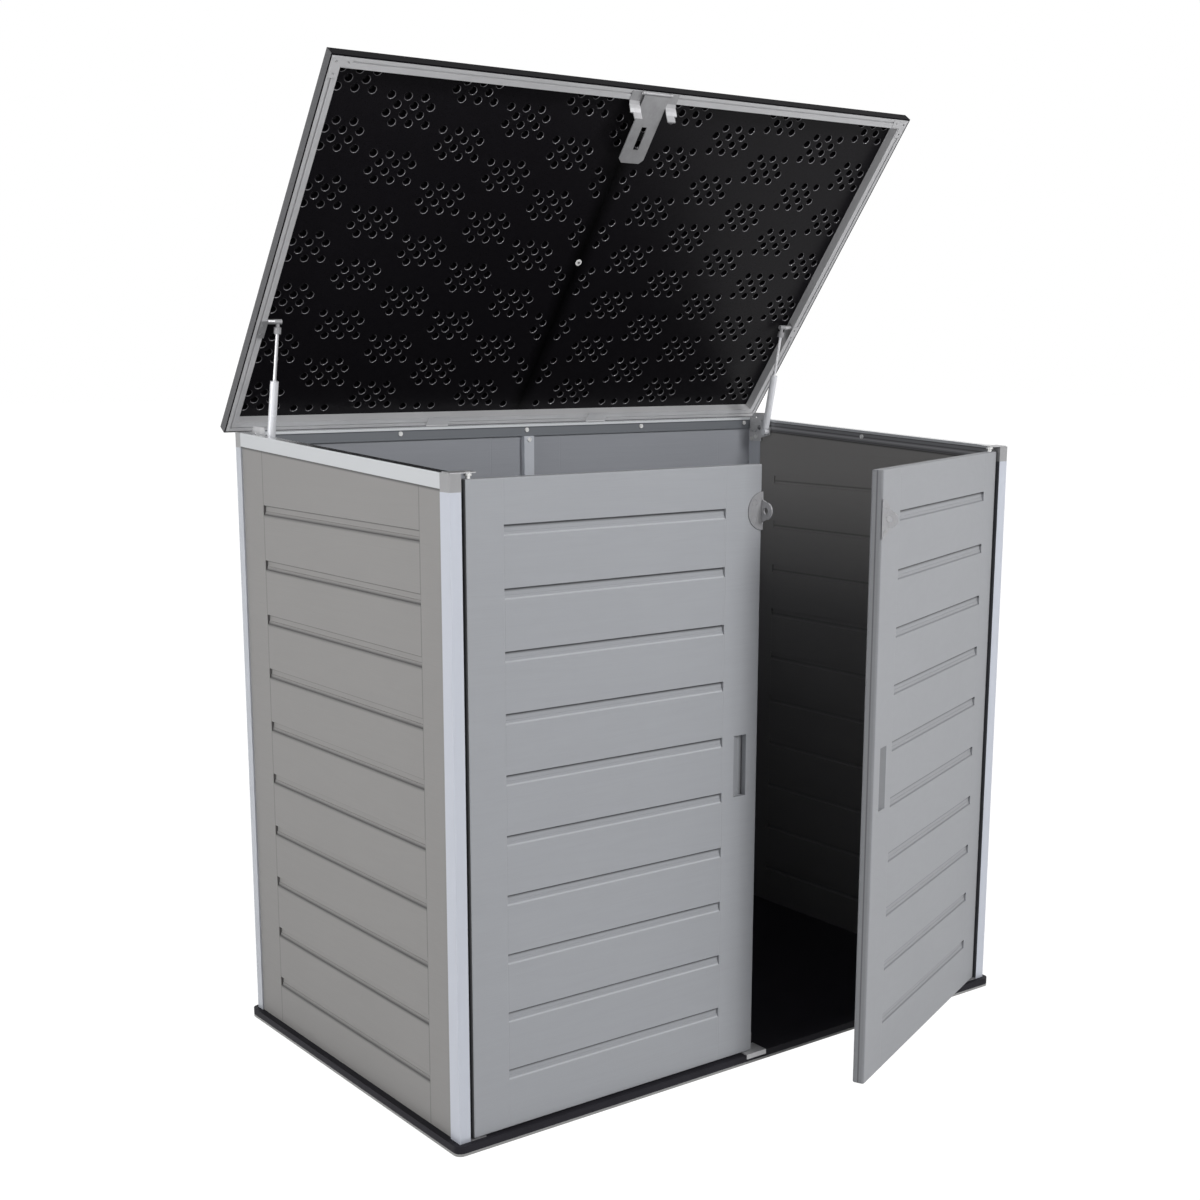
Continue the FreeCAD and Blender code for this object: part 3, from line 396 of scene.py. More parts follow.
door_turn = math.radians(OPEN_AT_REST)
door_pivot = Vector((0.5955, -0.3592, 0.0))
turned_pivot = Matrix.Rotation(door_turn, 3, "Z") @ door_pivot


def on_left(x):
    """A place on the left door, which is shut."""
    return x


def on_right(x):
    """The same place on the right door, in its turned frame."""
    return turned_pivot.x - door_pivot.x - x


print("the right door's planks end at", [round(on_right(x), 4) for x in DOOR_LINES])

# %% Door looks
# Painted shade: a dark line under each groove's top edge, a dim groove floor, the finger recess and its
# deep corner, a band along the free edge, the free edge's face and the hinge edge.
DOOR_TOP_LINE, DOOR_FOOT_MIDDLE, DOOR_FOOT_HALF = (0.0022, 0.0042, 0.85), 0.0168, 0.0018
GROOVE_HIGH, GROOVE_DARK = 0.0165, 0.07
HANDLE_RIM, HANDLE_DEEP, DOOR_RIM = 0.009, 0.008, 0.045
EDGE_LINE_HALF, EDGE_LINE_DARK, EDGE_DARK, HINGE_EDGE_DARK = 0.002, 0.5, 0.3, 0.9


def door_shade(on_door, middle_y, lip, pocket, rim):
    """The painted shade and highlight on a door: lip is the strength and colour of the line painted at
    each groove's foot, a highlight on the left door and shade on the right; pocket is the painted shade
    in the finger recess, and rim the painted shade along the free edge."""
    lines, handle, free_edge, hinge_edge = (
        [on_door(x) for x in ends] for ends in (DOOR_LINES, HANDLE_X, FREE_EDGE, HINGE_EDGE))
    lip_strength, lip_colour = lip

    def shade(x, y, z):
        down = DOOR_GROOVES.down(z)
        planks = x.within(lines) * DOOR_GROOVES.reach(z)
        recess = x.within(handle) * z.within(HANDLE_Z)
        yield mark(down, DOOR_TOP_LINE, planks), shadow_grey
        yield down.below(GROOVE_HIGH) * planks * GROOVE_DARK, shadow_grey
        yield mark(down, (DOOR_FOOT_MIDDLE, DOOR_FOOT_HALF, lip_strength), planks), lip_colour
        yield recess * pocket, shadow_grey
        yield recess * x.near(handle[1], HANDLE_RIM) * y.near(middle_y, HANDLE_DEEP), shadow_grey
        yield mark(x, (free_edge[1], DOOR_RIM, rim)), shadow_grey
        edge_line = mark(y, (middle_y, EDGE_LINE_HALF, EDGE_LINE_DARK))
        yield x.within(free_edge) * (edge_line + EDGE_DARK), shadow_grey
        yield x.within(hinge_edge) * HINGE_EDGE_DARK, shadow_grey
    return shade


# The left door's groove feet take a painted highlight.
left_shade = door_shade(on_left, door_pivot.y, lip=(0.6, (0.62, 0.63, 0.66)), pocket=0.12, rim=0.22)
resin_door = grained("resin_door_left", (0.345, 0.355, 0.375), "x", DOOR_LINES, left_shade, gloss=0.2)
# The right door's groove feet take painted shade, and its colour is painted a little darker as it faces
# more light.
right_shade = door_shade(on_right, turned_pivot.y, lip=(0.4, shadow_grey), pocket=0.33, rim=0.0)
resin_door_open = grained("resin_door_right", (0.325, 0.332, 0.348), "x",
                          [on_right(x) for x in DOOR_LINES], right_shade, door_turn, gloss=0.12)
print("doors:", resin_door.name, resin_door_open.name)

# %% [markdown]
# ## Smooth resin and painted metal
# The base, its trim, the corner caps, the back posts, the lid's frame and the struts' tubes are
# smooth. One flat colour would do from afar, but up close it looks like paper. So each has a
# faint cloud and speck in its colour, slightly uneven gloss and a very shallow texture.

# %% Smooth parts
CLOUDS, FINE_SPECKS, CLOUD_SHARE, SMOOTH_ROUGH_SPREAD = 14.0, 900.0, 0.7, 0.14


def plain(name, colour, rough, spread=0.06, specks=FINE_SPECKS, depth=0.00012, metallic=0.0,
          **constants):
    """A smooth part; spread is how far its colour strays, and specks how many to a metre."""
    look = Look(name, metallic=metallic, **constants)
    cloud = noise(look, (CLOUDS,) * 3, detail=5.0)
    speck = noise(look, (specks,) * 3, detail=2.0)
    stray = cloud * CLOUD_SHARE + speck * (1 - CLOUD_SHARE)
    look.set("base_color", mottled(look, stray, colour, spread))
    look.set("roughness", uneven(cloud, rough, SMOOTH_ROUGH_SPREAD))
    relief(look, speck, depth)
    return look.material


base_dark = plain("base_dark", (0.0245, 0.0235, 0.0285), rough=0.5, spread=0.2, depth=0.0003,
                  specular_ior_level=0.05)
trim_pale = plain("trim_pale", (0.27, 0.27, 0.265), rough=0.4)
cap_grey = plain("cap_grey", (0.31, 0.31, 0.315), rough=0.42)
socket_grey = plain("socket_grey", (0.30, 0.30, 0.31), rough=0.45)
post_silver = plain("post_silver", (0.50, 0.52, 0.56), rough=0.38, depth=0.00005, metallic=0.2,
                    specular_ior_level=0.2)
frame_silver = plain("frame_silver", (0.50, 0.50, 0.51), rough=0.4, depth=0.00006, metallic=0.12)
strut_white = plain("strut_white", (0.74, 0.75, 0.78), rough=0.24, spread=0.02, depth=0.00002,
                    metallic=0.1)
print("smooth parts:", base_dark.name, trim_pale.name, post_silver.name, frame_silver.name)

# %% [markdown]
# ## Front posts
# A front post is a channel of drawn metal. Its outside is bright. The narrow face beside the
# door lies in shadow, and next to the door it reads as one dark line. A second material on
# that face would need its faces picked one by one. A mask on the place across the cabinet
# gives the same, and holds for both posts.

# %% Front posts
POST_INSIDE, POST_DARK = 0.6143, 0.9
post_look = Look("post_front", metallic=0.25, roughness=0.36, specular_ior_level=0.2)
post_bright, post_shadow = (0.53, 0.555, 0.615), (0.07, 0.07, 0.075)
beside_door = abs(xyz(post_look)[0]).below(POST_INSIDE)
post_look.set("base_color", mix(post_look, beside_door * POST_DARK, post_bright, post_shadow))
post_front = post_look.material
print("front posts:", post_front.name)

# %% [markdown]
# ## Rails
# The rails are extruded, with a bright bead along the top and fine ribs on their inner faces. The ribs
# are so low that modelled ones would hardly show at this distance. So their shading is painted as lines
# of colour, dark lines of painted shade and one pale line of painted highlight, each at its distance
# down from the rail's top. Below the bead the inner faces are painted darker as shade. The top itself is
# polished, and seen at a low angle it gives a thin dark line.

# %% Rails
# The middle share is how much painted shade a rail's inner face takes below the bead.
BEAD, POLISHED, INNER_SHADE_SHARE = 0.0052, 0.0006, 0.9
DULL_METAL, POLISHED_METAL, DULL_ROUGH, POLISHED_ROUGH = 0.25, 0.9, 0.38, 0.12
RAIL_TOP, BACK_RAIL_TOP = 1.1, 1.135
SIDE_RAIL_INSIDE, BACK_RAIL_INSIDE = 0.6145, 0.3495
# A line of painted shade just under the bead.
bead_line = (0.0062, 0.0014, 0.8, shadow_grey)


def ribbed(name, silver, inner_shade, down, inner, lines):
    """A rail; its inner face below the bead is painted in shade, and the lines are painted shade and
    highlight, each with its distance down, half width, strength and colour.
    """
    look = Look(name, specular_ior_level=0.2)
    x, y, z = xyz(look)
    below = down(y, z)
    top = below.below(POLISHED)
    look.set("metallic", DULL_METAL + top * (POLISHED_METAL - DULL_METAL))
    look.set("roughness", DULL_ROUGH - top * (DULL_ROUGH - POLISHED_ROUGH))
    # Painted shade on the inner face below the bead.
    tone = mix(look, inner(x, y) * below.above(BEAD) * INNER_SHADE_SHARE, silver, inner_shade)
    for *line, towards in lines:
        tone = mix(look, mark(below, line, inner(x, y)), tone, towards)
    look.set("base_color", tone)
    return look.material


# The side rail's ribs are lines of painted shade, with one of painted highlight.
rail_side = ribbed(
    "rail_side", silver=(0.55, 0.565, 0.58), inner_shade=(0.20, 0.20, 0.21),
    down=lambda y, z: (y + HALF_DEEP) * RAIL_SLOPE + RAIL_TOP - z,
    inner=lambda x, y: abs(x).below(SIDE_RAIL_INSIDE),
    lines=(bead_line, (0.0135, 0.0018, 0.7, shadow_grey), (0.0178, 0.0022, 0.8, (0.42, 0.42, 0.43)),
           (0.0235, 0.0025, 0.7, shadow_grey)))
rail_back = ribbed(
    "rail_back", silver=(0.62, 0.64, 0.66), inner_shade=(0.12, 0.13, 0.145),
    down=lambda y, z: BACK_RAIL_TOP - z,
    inner=lambda x, y: y.below(BACK_RAIL_INSIDE),
    lines=(bead_line,))
print("rails:", rail_side.name, rail_back.name)

# %% [markdown]
# ## The lid's black resin
# The lid is black with a gritty skin. Where its halves meet, the underside is darker still, and the
# short skirts at its ends are painted paler, a painted sheen of the light they catch from the side.
# These are two more marks on one resin, so one function makes both looks, and a formula says where the
# other colour goes. The rims of the dimples catch the light, so they have a glossy look of their own,
# with a pale colour that is a painted highlight.

# %% Black resin
GRIT, GRIT_PALER, GRIT_ENDS, GRIT_ROUGH_SPREAD = 520.0, 1.5, (0.35, 0.65), 0.14
SEAM_LINE = (0.0, 0.03, 0.95)
# The end skirts take a painted sheen, stirred by the grit.
END_SKIRT, SKIRT_SHEEN, SKIRT_SHEEN_GRIT = 0.6515, 0.7, 0.4


def gritty(name, colour, rough, gloss, depth, where, other):
    """Black resin with grit; where(x, grit) is the share of the other colour."""
    look = Look(name, metallic=0.0, specular_ior_level=gloss)
    grit = noise(look, (GRIT,) * 3, detail=2.0)
    paler = tuple(channel * GRIT_PALER for channel in colour)
    speckled = ramp(look, grit, (GRIT_ENDS[0], colour), (GRIT_ENDS[1], paler))
    look.set("base_color", mix(look, where(xyz(look)[0], grit), speckled, other))
    look.set("roughness", uneven(grit, rough, GRIT_ROUGH_SPREAD))
    relief(look, grit, depth)
    return look.material


lid_under_black = gritty(
    "lid_under_black", (0.0055, 0.0050, 0.0062), rough=0.3, gloss=0.08, depth=0.0003,
    where=lambda x, grit: mark(x, SEAM_LINE),
    other=(0.0005, 0.0005, 0.0006))
# The lid's outside, with a painted sheen on its end skirts.
lid_black = gritty(
    "lid_black", (0.0055, 0.0052, 0.0062), rough=0.5, gloss=0.03, depth=0.0002,
    where=lambda x, grit: abs(x).above(END_SKIRT) * (grit * SKIRT_SHEEN_GRIT + SKIRT_SHEEN).clamped(),
    other=(0.15, 0.15, 0.155))
# The dimples' rims: glossy, and pale as a painted highlight.
lid_lip_highlight = plain("lid_lip_highlight", (0.17, 0.166, 0.178), rough=0.2, spread=0.2, specks=GRIT,
                specular_ior_level=1.0)
print("lid looks:", lid_under_black.name, lid_black.name, lid_lip_highlight.name)

# %% [markdown]
# ## The lid's own measures
# The lid leans back on its hinges. Its places are easiest to give flat, as a maker measures
# them: in millimetres from its middle line, from the back rim and up from the underside. One
# matrix tilts them about the hinge. An empty object could do this too, but a matrix leaves
# nothing behind in the scene.

# %% A point of the lid
lid_hinge = Vector((0.0, 0.3736, 1.130))
ROOF_SLOPE, LID_OPENING = 2.785, 55.9
lid_tilt = math.radians(ROOF_SLOPE - LID_OPENING)
BACK_RIM_FROM_HINGE, UNDERSIDE_OVER_HINGE = 1.8475, 9.164
LID_HALF, LID_LONG = 652.0, 754.0
lid_place = Matrix.Translation(lid_hinge) @ Matrix.Rotation(lid_tilt, 4, "X")


def lid_point(x, back, up):
    """A point of the lid: mm from its middle line, from the back rim and above the underside."""
    return lid_place @ (Vector((x, BACK_RIM_FROM_HINGE - back, UNDERSIDE_OVER_HINGE + up)) / 1000)


print("front rim of the lid", tuple(round(v, 4) for v in lid_point(0.0, LID_LONG, 0.0)))

# %% [markdown]
# ## The plug in the lid
# A small pale plug sits in the middle of the lid, with a dark hole in it. The hole could be cut, but it
# is some five millimetres wide and its walls are never seen. A spot of painted shade, within a distance
# of the hole's centre, does the same.

# %% The plug's look
PLUG_BACK, PLUG_UP, HOLE_RADIUS = 380.0, 17.0, 0.0027
plug = Look("plug_white", metallic=0.0, roughness=0.35)
away = plug.node("VectorMath", {"operation": "DISTANCE"},
                 {0: place(plug), 1: lid_point(0.0, PLUG_BACK, PLUG_UP)})
in_hole = Num(plug, away.outputs["Value"]).below(HOLE_RADIUS)
# The hole is a spot of painted shade.
plug_pale, hole_shade = (0.85, 0.85, 0.84), (0.01, 0.01, 0.01)
plug.set("base_color", mix(plug, in_hole, plug_pale, hole_shade))
plug_white = plug.material
print("plug:", plug_white.name)

# %% [markdown]
# ## Plated steel
# Hinges, plates, screws, rods and the hasp are steel with a thin zinc coat: a cloudy grey with
# the finest of brush marks. Pure metal would mirror the white studio and glare. So these looks
# are only partly metallic and keep a colour of their own, and the brushing is noise drawn out
# ten times along one axis.

# %% Zinc looks
ZINC_CLOUDS, BRUSHING = (60, 60, 60), (900, 90, 90)
ZINC_CLOUD_SHARE, ZINC_SPREAD, ZINC_ROUGH_SPREAD, BRUSHING_DEPTH = 0.6, 0.12, 0.2, 0.00003


def zinc(name, colour, rough, metallic):
    """Plated steel with faint clouds and fine brushing."""
    look = Look(name, metallic=metallic)
    cloud = noise(look, ZINC_CLOUDS, detail=3.0)
    brush = noise(look, BRUSHING, detail=2.0)
    stray = cloud * ZINC_CLOUD_SHARE + brush * (1 - ZINC_CLOUD_SHARE)
    look.set("base_color", mottled(look, stray, colour, ZINC_SPREAD))
    look.set("roughness", uneven(brush, rough, ZINC_ROUGH_SPREAD))
    relief(look, brush, BRUSHING_DEPTH)
    return look.material


plate_steel = zinc("plate_steel", (0.42, 0.42, 0.43), rough=0.42, metallic=0.7)
eye_steel = zinc("eye_steel", (0.29, 0.29, 0.30), rough=0.42, metallic=0.2)
hasp_steel = zinc("hasp_steel", (0.36, 0.36, 0.37), rough=0.38, metallic=0.55)
strut_plate_steel = zinc("strut_plate_steel", (0.60, 0.60, 0.61), rough=0.4, metallic=0.35)
catch_steel = zinc("catch_steel", (0.50, 0.50, 0.51), rough=0.45, metallic=0.3)
rod_steel = zinc("rod_steel", (0.70, 0.70, 0.72), rough=0.3, metallic=0.5)
screw_steel = zinc("screw_steel", (0.80, 0.80, 0.79), rough=0.3, metallic=0.4)
print("steel looks:", [m.name for m in bpy.data.materials if m.name.endswith("_steel")])

# %% [markdown]
# ## Looks onto the CAD parts
# On the real cabinet each part is one material, so each CAD part takes one look and keeps its
# shape. The looks could be assigned by hand in the material tab. A table of looks and names
# does it in one pass, and the printed line would name a part that was left out.

# %% Assign the looks
def pair(name):
    """The left and the right part of a pair."""
    return [name + "_left", name + "_right"]


dressed = (
    (base_dark, ["base_floor"]),
    (trim_pale, ["base_trim"]),
    (post_front, pair("post_front")),
    (post_silver, pair("post_back") + ["post_back_centre"]),
    (cap_grey, pair("cap_front") + pair("cap_back")),
    (rail_side, pair("rail")),
    (rail_back, ["rail_back"]),
    (resin_side, pair("panel_side")),
    (resin_back, pair("panel_back")),
    (resin_door, ["door_left"]),
    (resin_door_open, ["door_right"]),
    (eye_steel, pair("lock_eye") + pair("eye_rivets")),
    (plate_steel, pair("pivot_plate_top") + pair("strut_bracket_up") + ["hinge_leaves_cabinet"]),
    (hasp_steel, pair("pivot_plate_foot") + ["hasp_bracket", "hasp_tongue"]),
    (screw_steel, ["frame_screws", "pivot_pins_top", "pivot_pins_foot", "hinge_pins", "hasp_pin"]),
    (catch_steel, ["centre_catch"]),
    (lid_black, pair("lid_panel")),
    (plug_white, ["lid_plug"]),
    (frame_silver, pair("lid_frame") + ["lid_frame_front", "lid_frame_back",
                                        "lid_corner_plates", "hinge_leaves_lid"]),
    (strut_plate_steel, pair("strut_bracket_low")),
    (strut_white, pair("strut_tube")),
    (rod_steel, pair("strut_rod")),
    (socket_grey, pair("strut_socket_up")),
)
for material, names in dressed:
    for name in names:
        slots = nodes[name].data.materials
        slots.clear()
        slots.append(material)
print("nodes without a look:", sorted(set(nodes) - {name for _, names in dressed for name in names}))

# %% [markdown]
# ## The lid's dimples
# Each half of the lid is a double-walled panel. Its lower skin is pressed up into round dimples
# that meet the upper skin and stiffen it. A bump couldn't show them, as they are 11 millimetres
# deep and seen from the side. Cutting each with a Boolean would be slow. So a square cell of the
# skin is built with its dimple in it: rings of corners that step inwards and up, then a cap.

# %% One dimple
SKIN = 19.0
CELL_X, CELL_Y = 16.15, 16.3
# Each ring is a radius and a rise over the skin.
DIMPLE_RINGS = ((7.9, 0.0), (7.55, 0.3), (7.3, 1.0), (7.15, 2.4), (6.8, 5.0), (6.0, 9.0),
                (4.6, 10.9), (2.0, 11.4))
# The bands at a dimple's rim take the look whose pale colour is a painted highlight.
SIDES, LIP_RINGS = 20, 2
UNDER, LIP, OUTSIDE = range(3)
angles = [2 * math.pi * (i + 0.5) / SIDES for i in range(SIDES)]
directions = [(math.cos(angle), math.sin(angle)) for angle in angles]


def band(mesh, low, high, closed=True):
    """Faces between two rings that have the same number of corners."""
    count = len(low)
    return [mesh.faces.new((low[i], low[(i + 1) % count], high[(i + 1) % count], high[i]))
            for i in range(count if closed else count - 1)]


def dimple(mesh, cx, cy):
    """A square cell of the skin with a round dimple pressed up in its middle."""
    half_x, half_y = CELL_X / 2, CELL_Y / 2
    reaches = [min(half_x / abs(c), half_y / abs(s)) for c, s in directions]
    square = [mesh.verts.new((cx + reach * c, cy + reach * s, SKIN))
              for reach, (c, s) in zip(reaches, directions)]
    rings = [[mesh.verts.new((cx + radius * c, cy + radius * s, SKIN + rise)) for c, s in directions]
             for radius, rise in DIMPLE_RINGS]
    band(mesh, square, rings[0])
    for right, front in ((1, 1), (-1, 1), (-1, -1), (1, -1)):
        corner = mesh.verts.new((cx + right * half_x, cy + front * half_y, SKIN))
        near = sorted(square, key=lambda vert: (vert.co - corner.co).length)[:2]
        mesh.faces.new((corner, *near))
    for level, (low, high) in enumerate(zip(rings, rings[1:])):
        for face in band(mesh, low, high):
            face.material_index = LIP if level < LIP_RINGS else UNDER
            face.smooth = True
    mesh.faces.new(rings[-1]).smooth = True


print("a dimple:", 2 * DIMPLE_RINGS[0][0], "mm wide,", DIMPLE_RINGS[-1][1], "mm deep")

# %% [markdown]
# ## Clusters of dimples
# The dimples come in clusters of twelve, on every other cell of a block of six by four, and
# every other column of clusters is shifted. An Array modifier could repeat a cluster, but the
# blocks are cut off at the rim and the seam. A loop over the cells can check each one and leave
# it flat where it isn't whole.

# %% Underside of a half
CLUSTER_X, CLUSTER_Y = 118.1, 107.85
# How far from the back rim the first cluster of an even and of an odd column lies.
CLUSTER_BACK = (14.05, 68.0)
BLOCK_X, BLOCK_Y = 6, 4
COLUMNS, ROWS = 6, 7
SEAM, SKIN_INSET, CLEAR_OF_SEAM, SLIVER = 0.2, 16.0, 14.0, 0.01


def flat(mesh, side, span_x, span_y):
    """A plain rectangle of the skin."""
    (x0, x1), (y0, y1) = span_x, span_y
    corners = ((x0, y0), (x1, y0), (x1, y1), (x0, y1))
    mesh.faces.new([mesh.verts.new((side * x, y, SKIN)) for x, y in corners])


def block(mesh, side, middle, centre, span_x, span_y):
    """The cells of one cluster, as far as they lie inside the two spans."""
    for row in range(BLOCK_Y):
        for column in range(BLOCK_X):
            cx = middle + (column - (BLOCK_X - 1) / 2) * CELL_X
            cy = centre + (row - (BLOCK_Y - 1) / 2) * CELL_Y
            x0, x1 = max(span_x[0], cx - CELL_X / 2), min(span_x[1], cx + CELL_X / 2)
            y0, y1 = max(span_y[0], cy - CELL_Y / 2), min(span_y[1], cy + CELL_Y / 2)
            if x1 - x0 < SLIVER or y1 - y0 < SLIVER:
                continue
            whole = x1 - x0 > CELL_X - SLIVER and y1 - y0 > CELL_Y - SLIVER
            if whole and (row + column) % 2 == 0 and cx > CLEAR_OF_SEAM:
                dimple(mesh, side * cx, cy)
            else:
                flat(mesh, side, (x0, x1), (y0, y1))


def underside(mesh, side):
    """One half's lower skin, column by column from the seam outwards."""
    outer, back, front = LID_HALF - SKIN_INSET, SKIN_INSET, LID_LONG - SKIN_INSET
    half_x, half_y = BLOCK_X / 2 * CELL_X, BLOCK_Y / 2 * CELL_Y
    edge = SEAM
    for column in range(COLUMNS):
        middle = CLUSTER_X * column
        x0, x1 = max(SEAM, middle - half_x), min(outer, middle + half_x)
        if x0 > edge + SLIVER:
            flat(mesh, side, (edge, x0), (back, front))
        edge = x1
        y = back
        for row in range(ROWS):
            centre = CLUSTER_BACK[column % 2] + CLUSTER_Y * row
            y0, y1 = max(back, centre - half_y), min(front, centre + half_y)
            if y0 > y + SLIVER:
                flat(mesh, side, (x0, x1), (y, y0))
            block(mesh, side, middle, centre, (x0, x1), (y0, y1))
            y = y1
        if y < front - SLIVER:
            flat(mesh, side, (x0, x1), (y, front))
    if edge < outer - SLIVER:
        flat(mesh, side, (edge, outer), (back, front))


print("dimples in a whole cluster:", BLOCK_X * BLOCK_Y // 2)

# %% [markdown]
# ## Rim and top of the lid
# Round the dimpled skin the half turns down into a skirt, up the rim and over a bevel to a
# slightly raised top. The rim is the same all round apart from the seam, so it is a profile of
# a few points, each a distance in from the rim and a height, drawn as rings and joined by
# bands. The halves mirror each other, so one function makes both.

# %% Shell of a half lid
WEB, STEP, SKIRT, SKIRT_FOOT = 20.0, 16.0, 3.0, 0.5
EDGE_HIGH, BEVEL, TOP = 18.0, 26.0, 32.0
# Each corner of the profile is a distance in from the rim and a height.
RIM = ((WEB, SKIN), (WEB, STEP), (SKIRT, STEP), (SKIRT, SKIRT_FOOT), (0.0, SKIRT_FOOT),
       (0.0, EDGE_HIGH), (BEVEL, TOP))
WELD = 0.002


def rim_ring(mesh, side, inset, height):
    """Rectangle round one half at a distance in from the rim; the seam side stays put."""
    seam, outer = side * SEAM, side * (LID_HALF - inset)
    corners = ((seam, inset), (outer, inset), (outer, LID_LONG - inset), (seam, LID_LONG - inset))
    return [mesh.verts.new((x, y, height)) for x, y in corners]


def half_lid(name, side):
    """One half of the lid, built flat in millimetres and then tilted into place."""
    mesh = bmesh.new()
    underside(mesh, side)
    rings = [rim_ring(mesh, side, inset, height) for inset, height in RIM]
    outer = [face for low, high in zip(rings, rings[1:]) for face in band(mesh, low, high, closed=False)]
    outer.append(mesh.faces.new(rings[-1]))
    outer.append(mesh.faces.new([ring[0] for ring in rings] + [ring[3] for ring in reversed(rings)]))
    for face in outer:
        face.material_index = OUTSIDE
    bmesh.ops.remove_doubles(mesh, verts=mesh.verts, dist=WELD)
    for vert in mesh.verts:
        vert.co = lid_point(*vert.co)
    bmesh.ops.recalc_face_normals(mesh, faces=mesh.faces)
    data = bpy.data.meshes.new(name)
    mesh.to_mesh(data)
    mesh.free()
    for material in (lid_under_black, lid_lip_highlight, lid_black):
        data.materials.append(material)
    piece = bpy.data.objects.new(name, data)
    bpy.context.collection.objects.link(piece)
    return piece


for name, side in (("left", -1), ("right", 1)):
    half = half_lid("lid_skin_" + name, side)
    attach(half, "lid")
    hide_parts("lid_panel_" + name)
    print(half.name, len(half.data.polygons), "faces")

# %% [markdown]
# ## Floor
# The cabinet stands on a white studio floor with a soft shadow at its foot. A floor that is
# lit until it is white would throw too much light up onto the cabinet. So its shader is a mix:
# soft light meets a pale matt floor, which takes the shadow, while the camera, and whatever
# gloss and glass show, get it nearly white.

# %% Floor
FLOOR_HALF, SHOWN, GLOW = 40.0, 0.97, 1.08


def shown_white(look):
    """1 for the camera and for what gloss and glass show, 0 for soft light."""
    rays = look.node("LightPath")
    kinds = [Num(look, rays.outputs[f"Is {kind} Ray"]) for kind in ("Camera", "Glossy", "Transmission")]
    return sum(kinds[1:], kinds[0]).clamped()


def plane(name, half):
    data = bpy.data.meshes.new(name)
    corners = [(-half, -half, 0.0), (half, -half, 0.0), (half, half, 0.0), (-half, half, 0.0)]
    data.from_pydata(corners, [], [(0, 1, 2, 3)])
    made = bpy.data.objects.new(name, data)
    bpy.context.collection.objects.link(made)
    return made


floor = plane("floor", FLOOR_HALF)
floor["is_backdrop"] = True
floor_look = Look("floor_white", base_color=(0.82, 0.82, 0.82), roughness=0.9)
glow = floor_look.node("Emission", color=(1, 1, 1), strength=GLOW)
blend = floor_look.node("MixShader", numbered={0: shown_white(floor_look) * SHOWN,
                                               1: floor_look.shader.outputs[0], 2: glow.outputs[0]})
floor_look.feed(floor_look.tree.nodes["Material Output"].inputs["Surface"], blend.outputs[0])
floor.data.materials.append(floor_look.material)
print("floor:", 2 * FLOOR_HALF, "m wide")

# %% [markdown]
# ## Surroundings
# The studio round the cabinet is dim overhead and brighter at eye level, which is what the
# upright walls pick up. An image of a real studio could light it too, but two colours on a ramp
# over the height are enough and stay neutral. As on the floor, the camera and what is mirrored
# get plain white, which is the photograph's background.

# %% World
class Sky(Look):
    """The world's look, from a colour overhead and one at eye level."""

    def __init__(self, overhead, level):
        world = bpy.data.worlds.new("studio")
        bpy.context.scene.world = world
        world.use_nodes = True
        self.tree = world.node_tree
        self.shader = self.tree.nodes["Background"]
        way = self.node("SeparateXYZ", vector=self.node("TexCoord").outputs["Generated"])
        self.set("color", ramp(self, Num(self, way.outputs["Z"]), (0.0, level), (0.75, overhead)))
        self.set("strength", 1.0)
        white = self.node("Background", color=(1, 1, 1), strength=1.0)
        blend = self.node("MixShader", numbered={0: shown_white(self), 1: self.shader.outputs[0],
                                                 2: white.outputs[0]})
        self.feed(self.tree.nodes["World Output"].inputs["Surface"], blend.outputs[0])


Sky(overhead=(0.06, 0.06, 0.065), level=(0.34, 0.34, 0.35))
print("world:", bpy.context.scene.world.name)

# %% [markdown]
# ## Lamps
# In the photograph the light comes from the front right and high up, the left side gets less,
# and the shadows are soft. A sun would give hard shadows, so these are area lamps: the larger
# and nearer one is, the softer its shadow. Their watts are set so that a colour renders about
# as it is written.

# %% Lamps
FRONT_MIDDLE = (0.0, 0.0, 0.7)
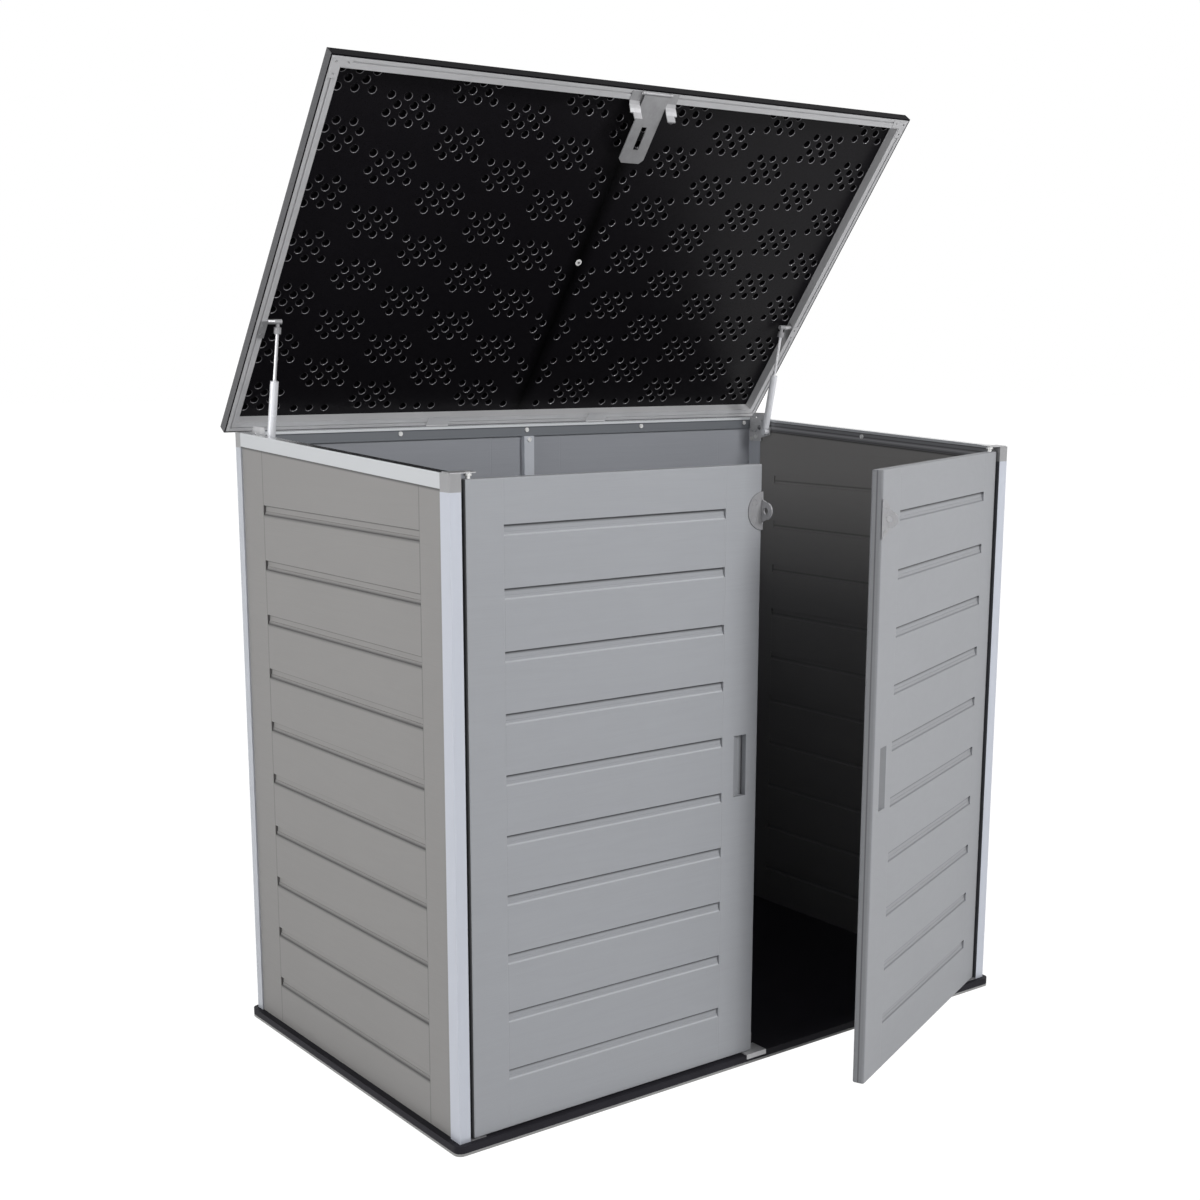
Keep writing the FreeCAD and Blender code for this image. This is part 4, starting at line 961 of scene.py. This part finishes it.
# Name, place, what it points at, width and height, and watts.
LAMPS = (
    ("key_front", (1.15, -4.0, 3.5), FRONT_MIDDLE, (1.4, 1.4), 154.0),
    ("front_soft", (-0.3, -4.6, 1.6), FRONT_MIDDLE, (2.0, 1.6), 18.0),
    ("left_low", (-4.4, 0.3, 0.5), (-0.6, 0.0, 0.6), (2.4, 1.6), 56.0),
    ("left_high", (-2.5, -0.2, 1.5), (0.63, 0.1, 0.9), (0.9, 0.4), 15.0),
    ("back_rim", (1.6, 3.6, 3.0), (0.0, 0.2, 0.8), (2.6, 1.6), 30.0),
)
for name, at, toward, size, watts in LAMPS:
    data = bpy.data.lights.new(name, "AREA")
    data.shape = "RECTANGLE"
    data.size, data.size_y = size
    data.energy = watts
    lamp = bpy.data.objects.new(name, data)
    lamp.visible_camera = False
    lamp.location = at
    lamp.rotation_euler = (Vector(toward) - Vector(at)).to_track_quat("-Z", "Y").to_euler()
    bpy.context.collection.objects.link(lamp)
print("lamps:", [name for name, *_ in LAMPS])

# %% [markdown]
# ## Camera
# The photograph was taken from the front left, a little above the doors' tops. The camera could
# be moved about until it looks right. Here its place, lens and shift were worked out from the
# corners of the posts, the base and the lid, whose places on the real cabinet are known. The
# focal length came out in pixels of the picture, so it is turned into millimetres.

# %% Camera
PICTURE_PIXELS, FOCAL_PIXELS, SENSOR_MM = 1200, 1697.2, 36.0
camera = bpy.data.objects.new("camera", bpy.data.cameras.new("camera"))
bpy.context.collection.objects.link(camera)
camera.location = (-1.9904, -2.5503, 1.2801)
aim = Vector((-0.08368, 0.0150, 0.64658))
camera.rotation_euler = (aim - camera.location).to_track_quat("-Z", "Y").to_euler()
camera.data.sensor_width = SENSOR_MM
camera.data.lens = FOCAL_PIXELS / PICTURE_PIXELS * SENSOR_MM
camera.data.shift_x, camera.data.shift_y = 0.0074, 0.0735
camera.data.clip_end = 200.0
scene = bpy.context.scene
scene.camera = camera
scene.view_settings.view_transform = "Standard"
print("lens", round(camera.data.lens, 2), "shift", camera.data.shift_x, camera.data.shift_y)

# %% [markdown] ## Sizes and finish The dressed cabinet has to stay as large as the CAD model. Its box is kept beside the CAD box and printed.

# %% The sizes and finish
boxes = {"cad": [list(v) for v in cad_box], "visual": [list(v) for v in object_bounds()]}
print("visual box", [[round(v, 4) for v in corner] for corner in boxes["visual"]])
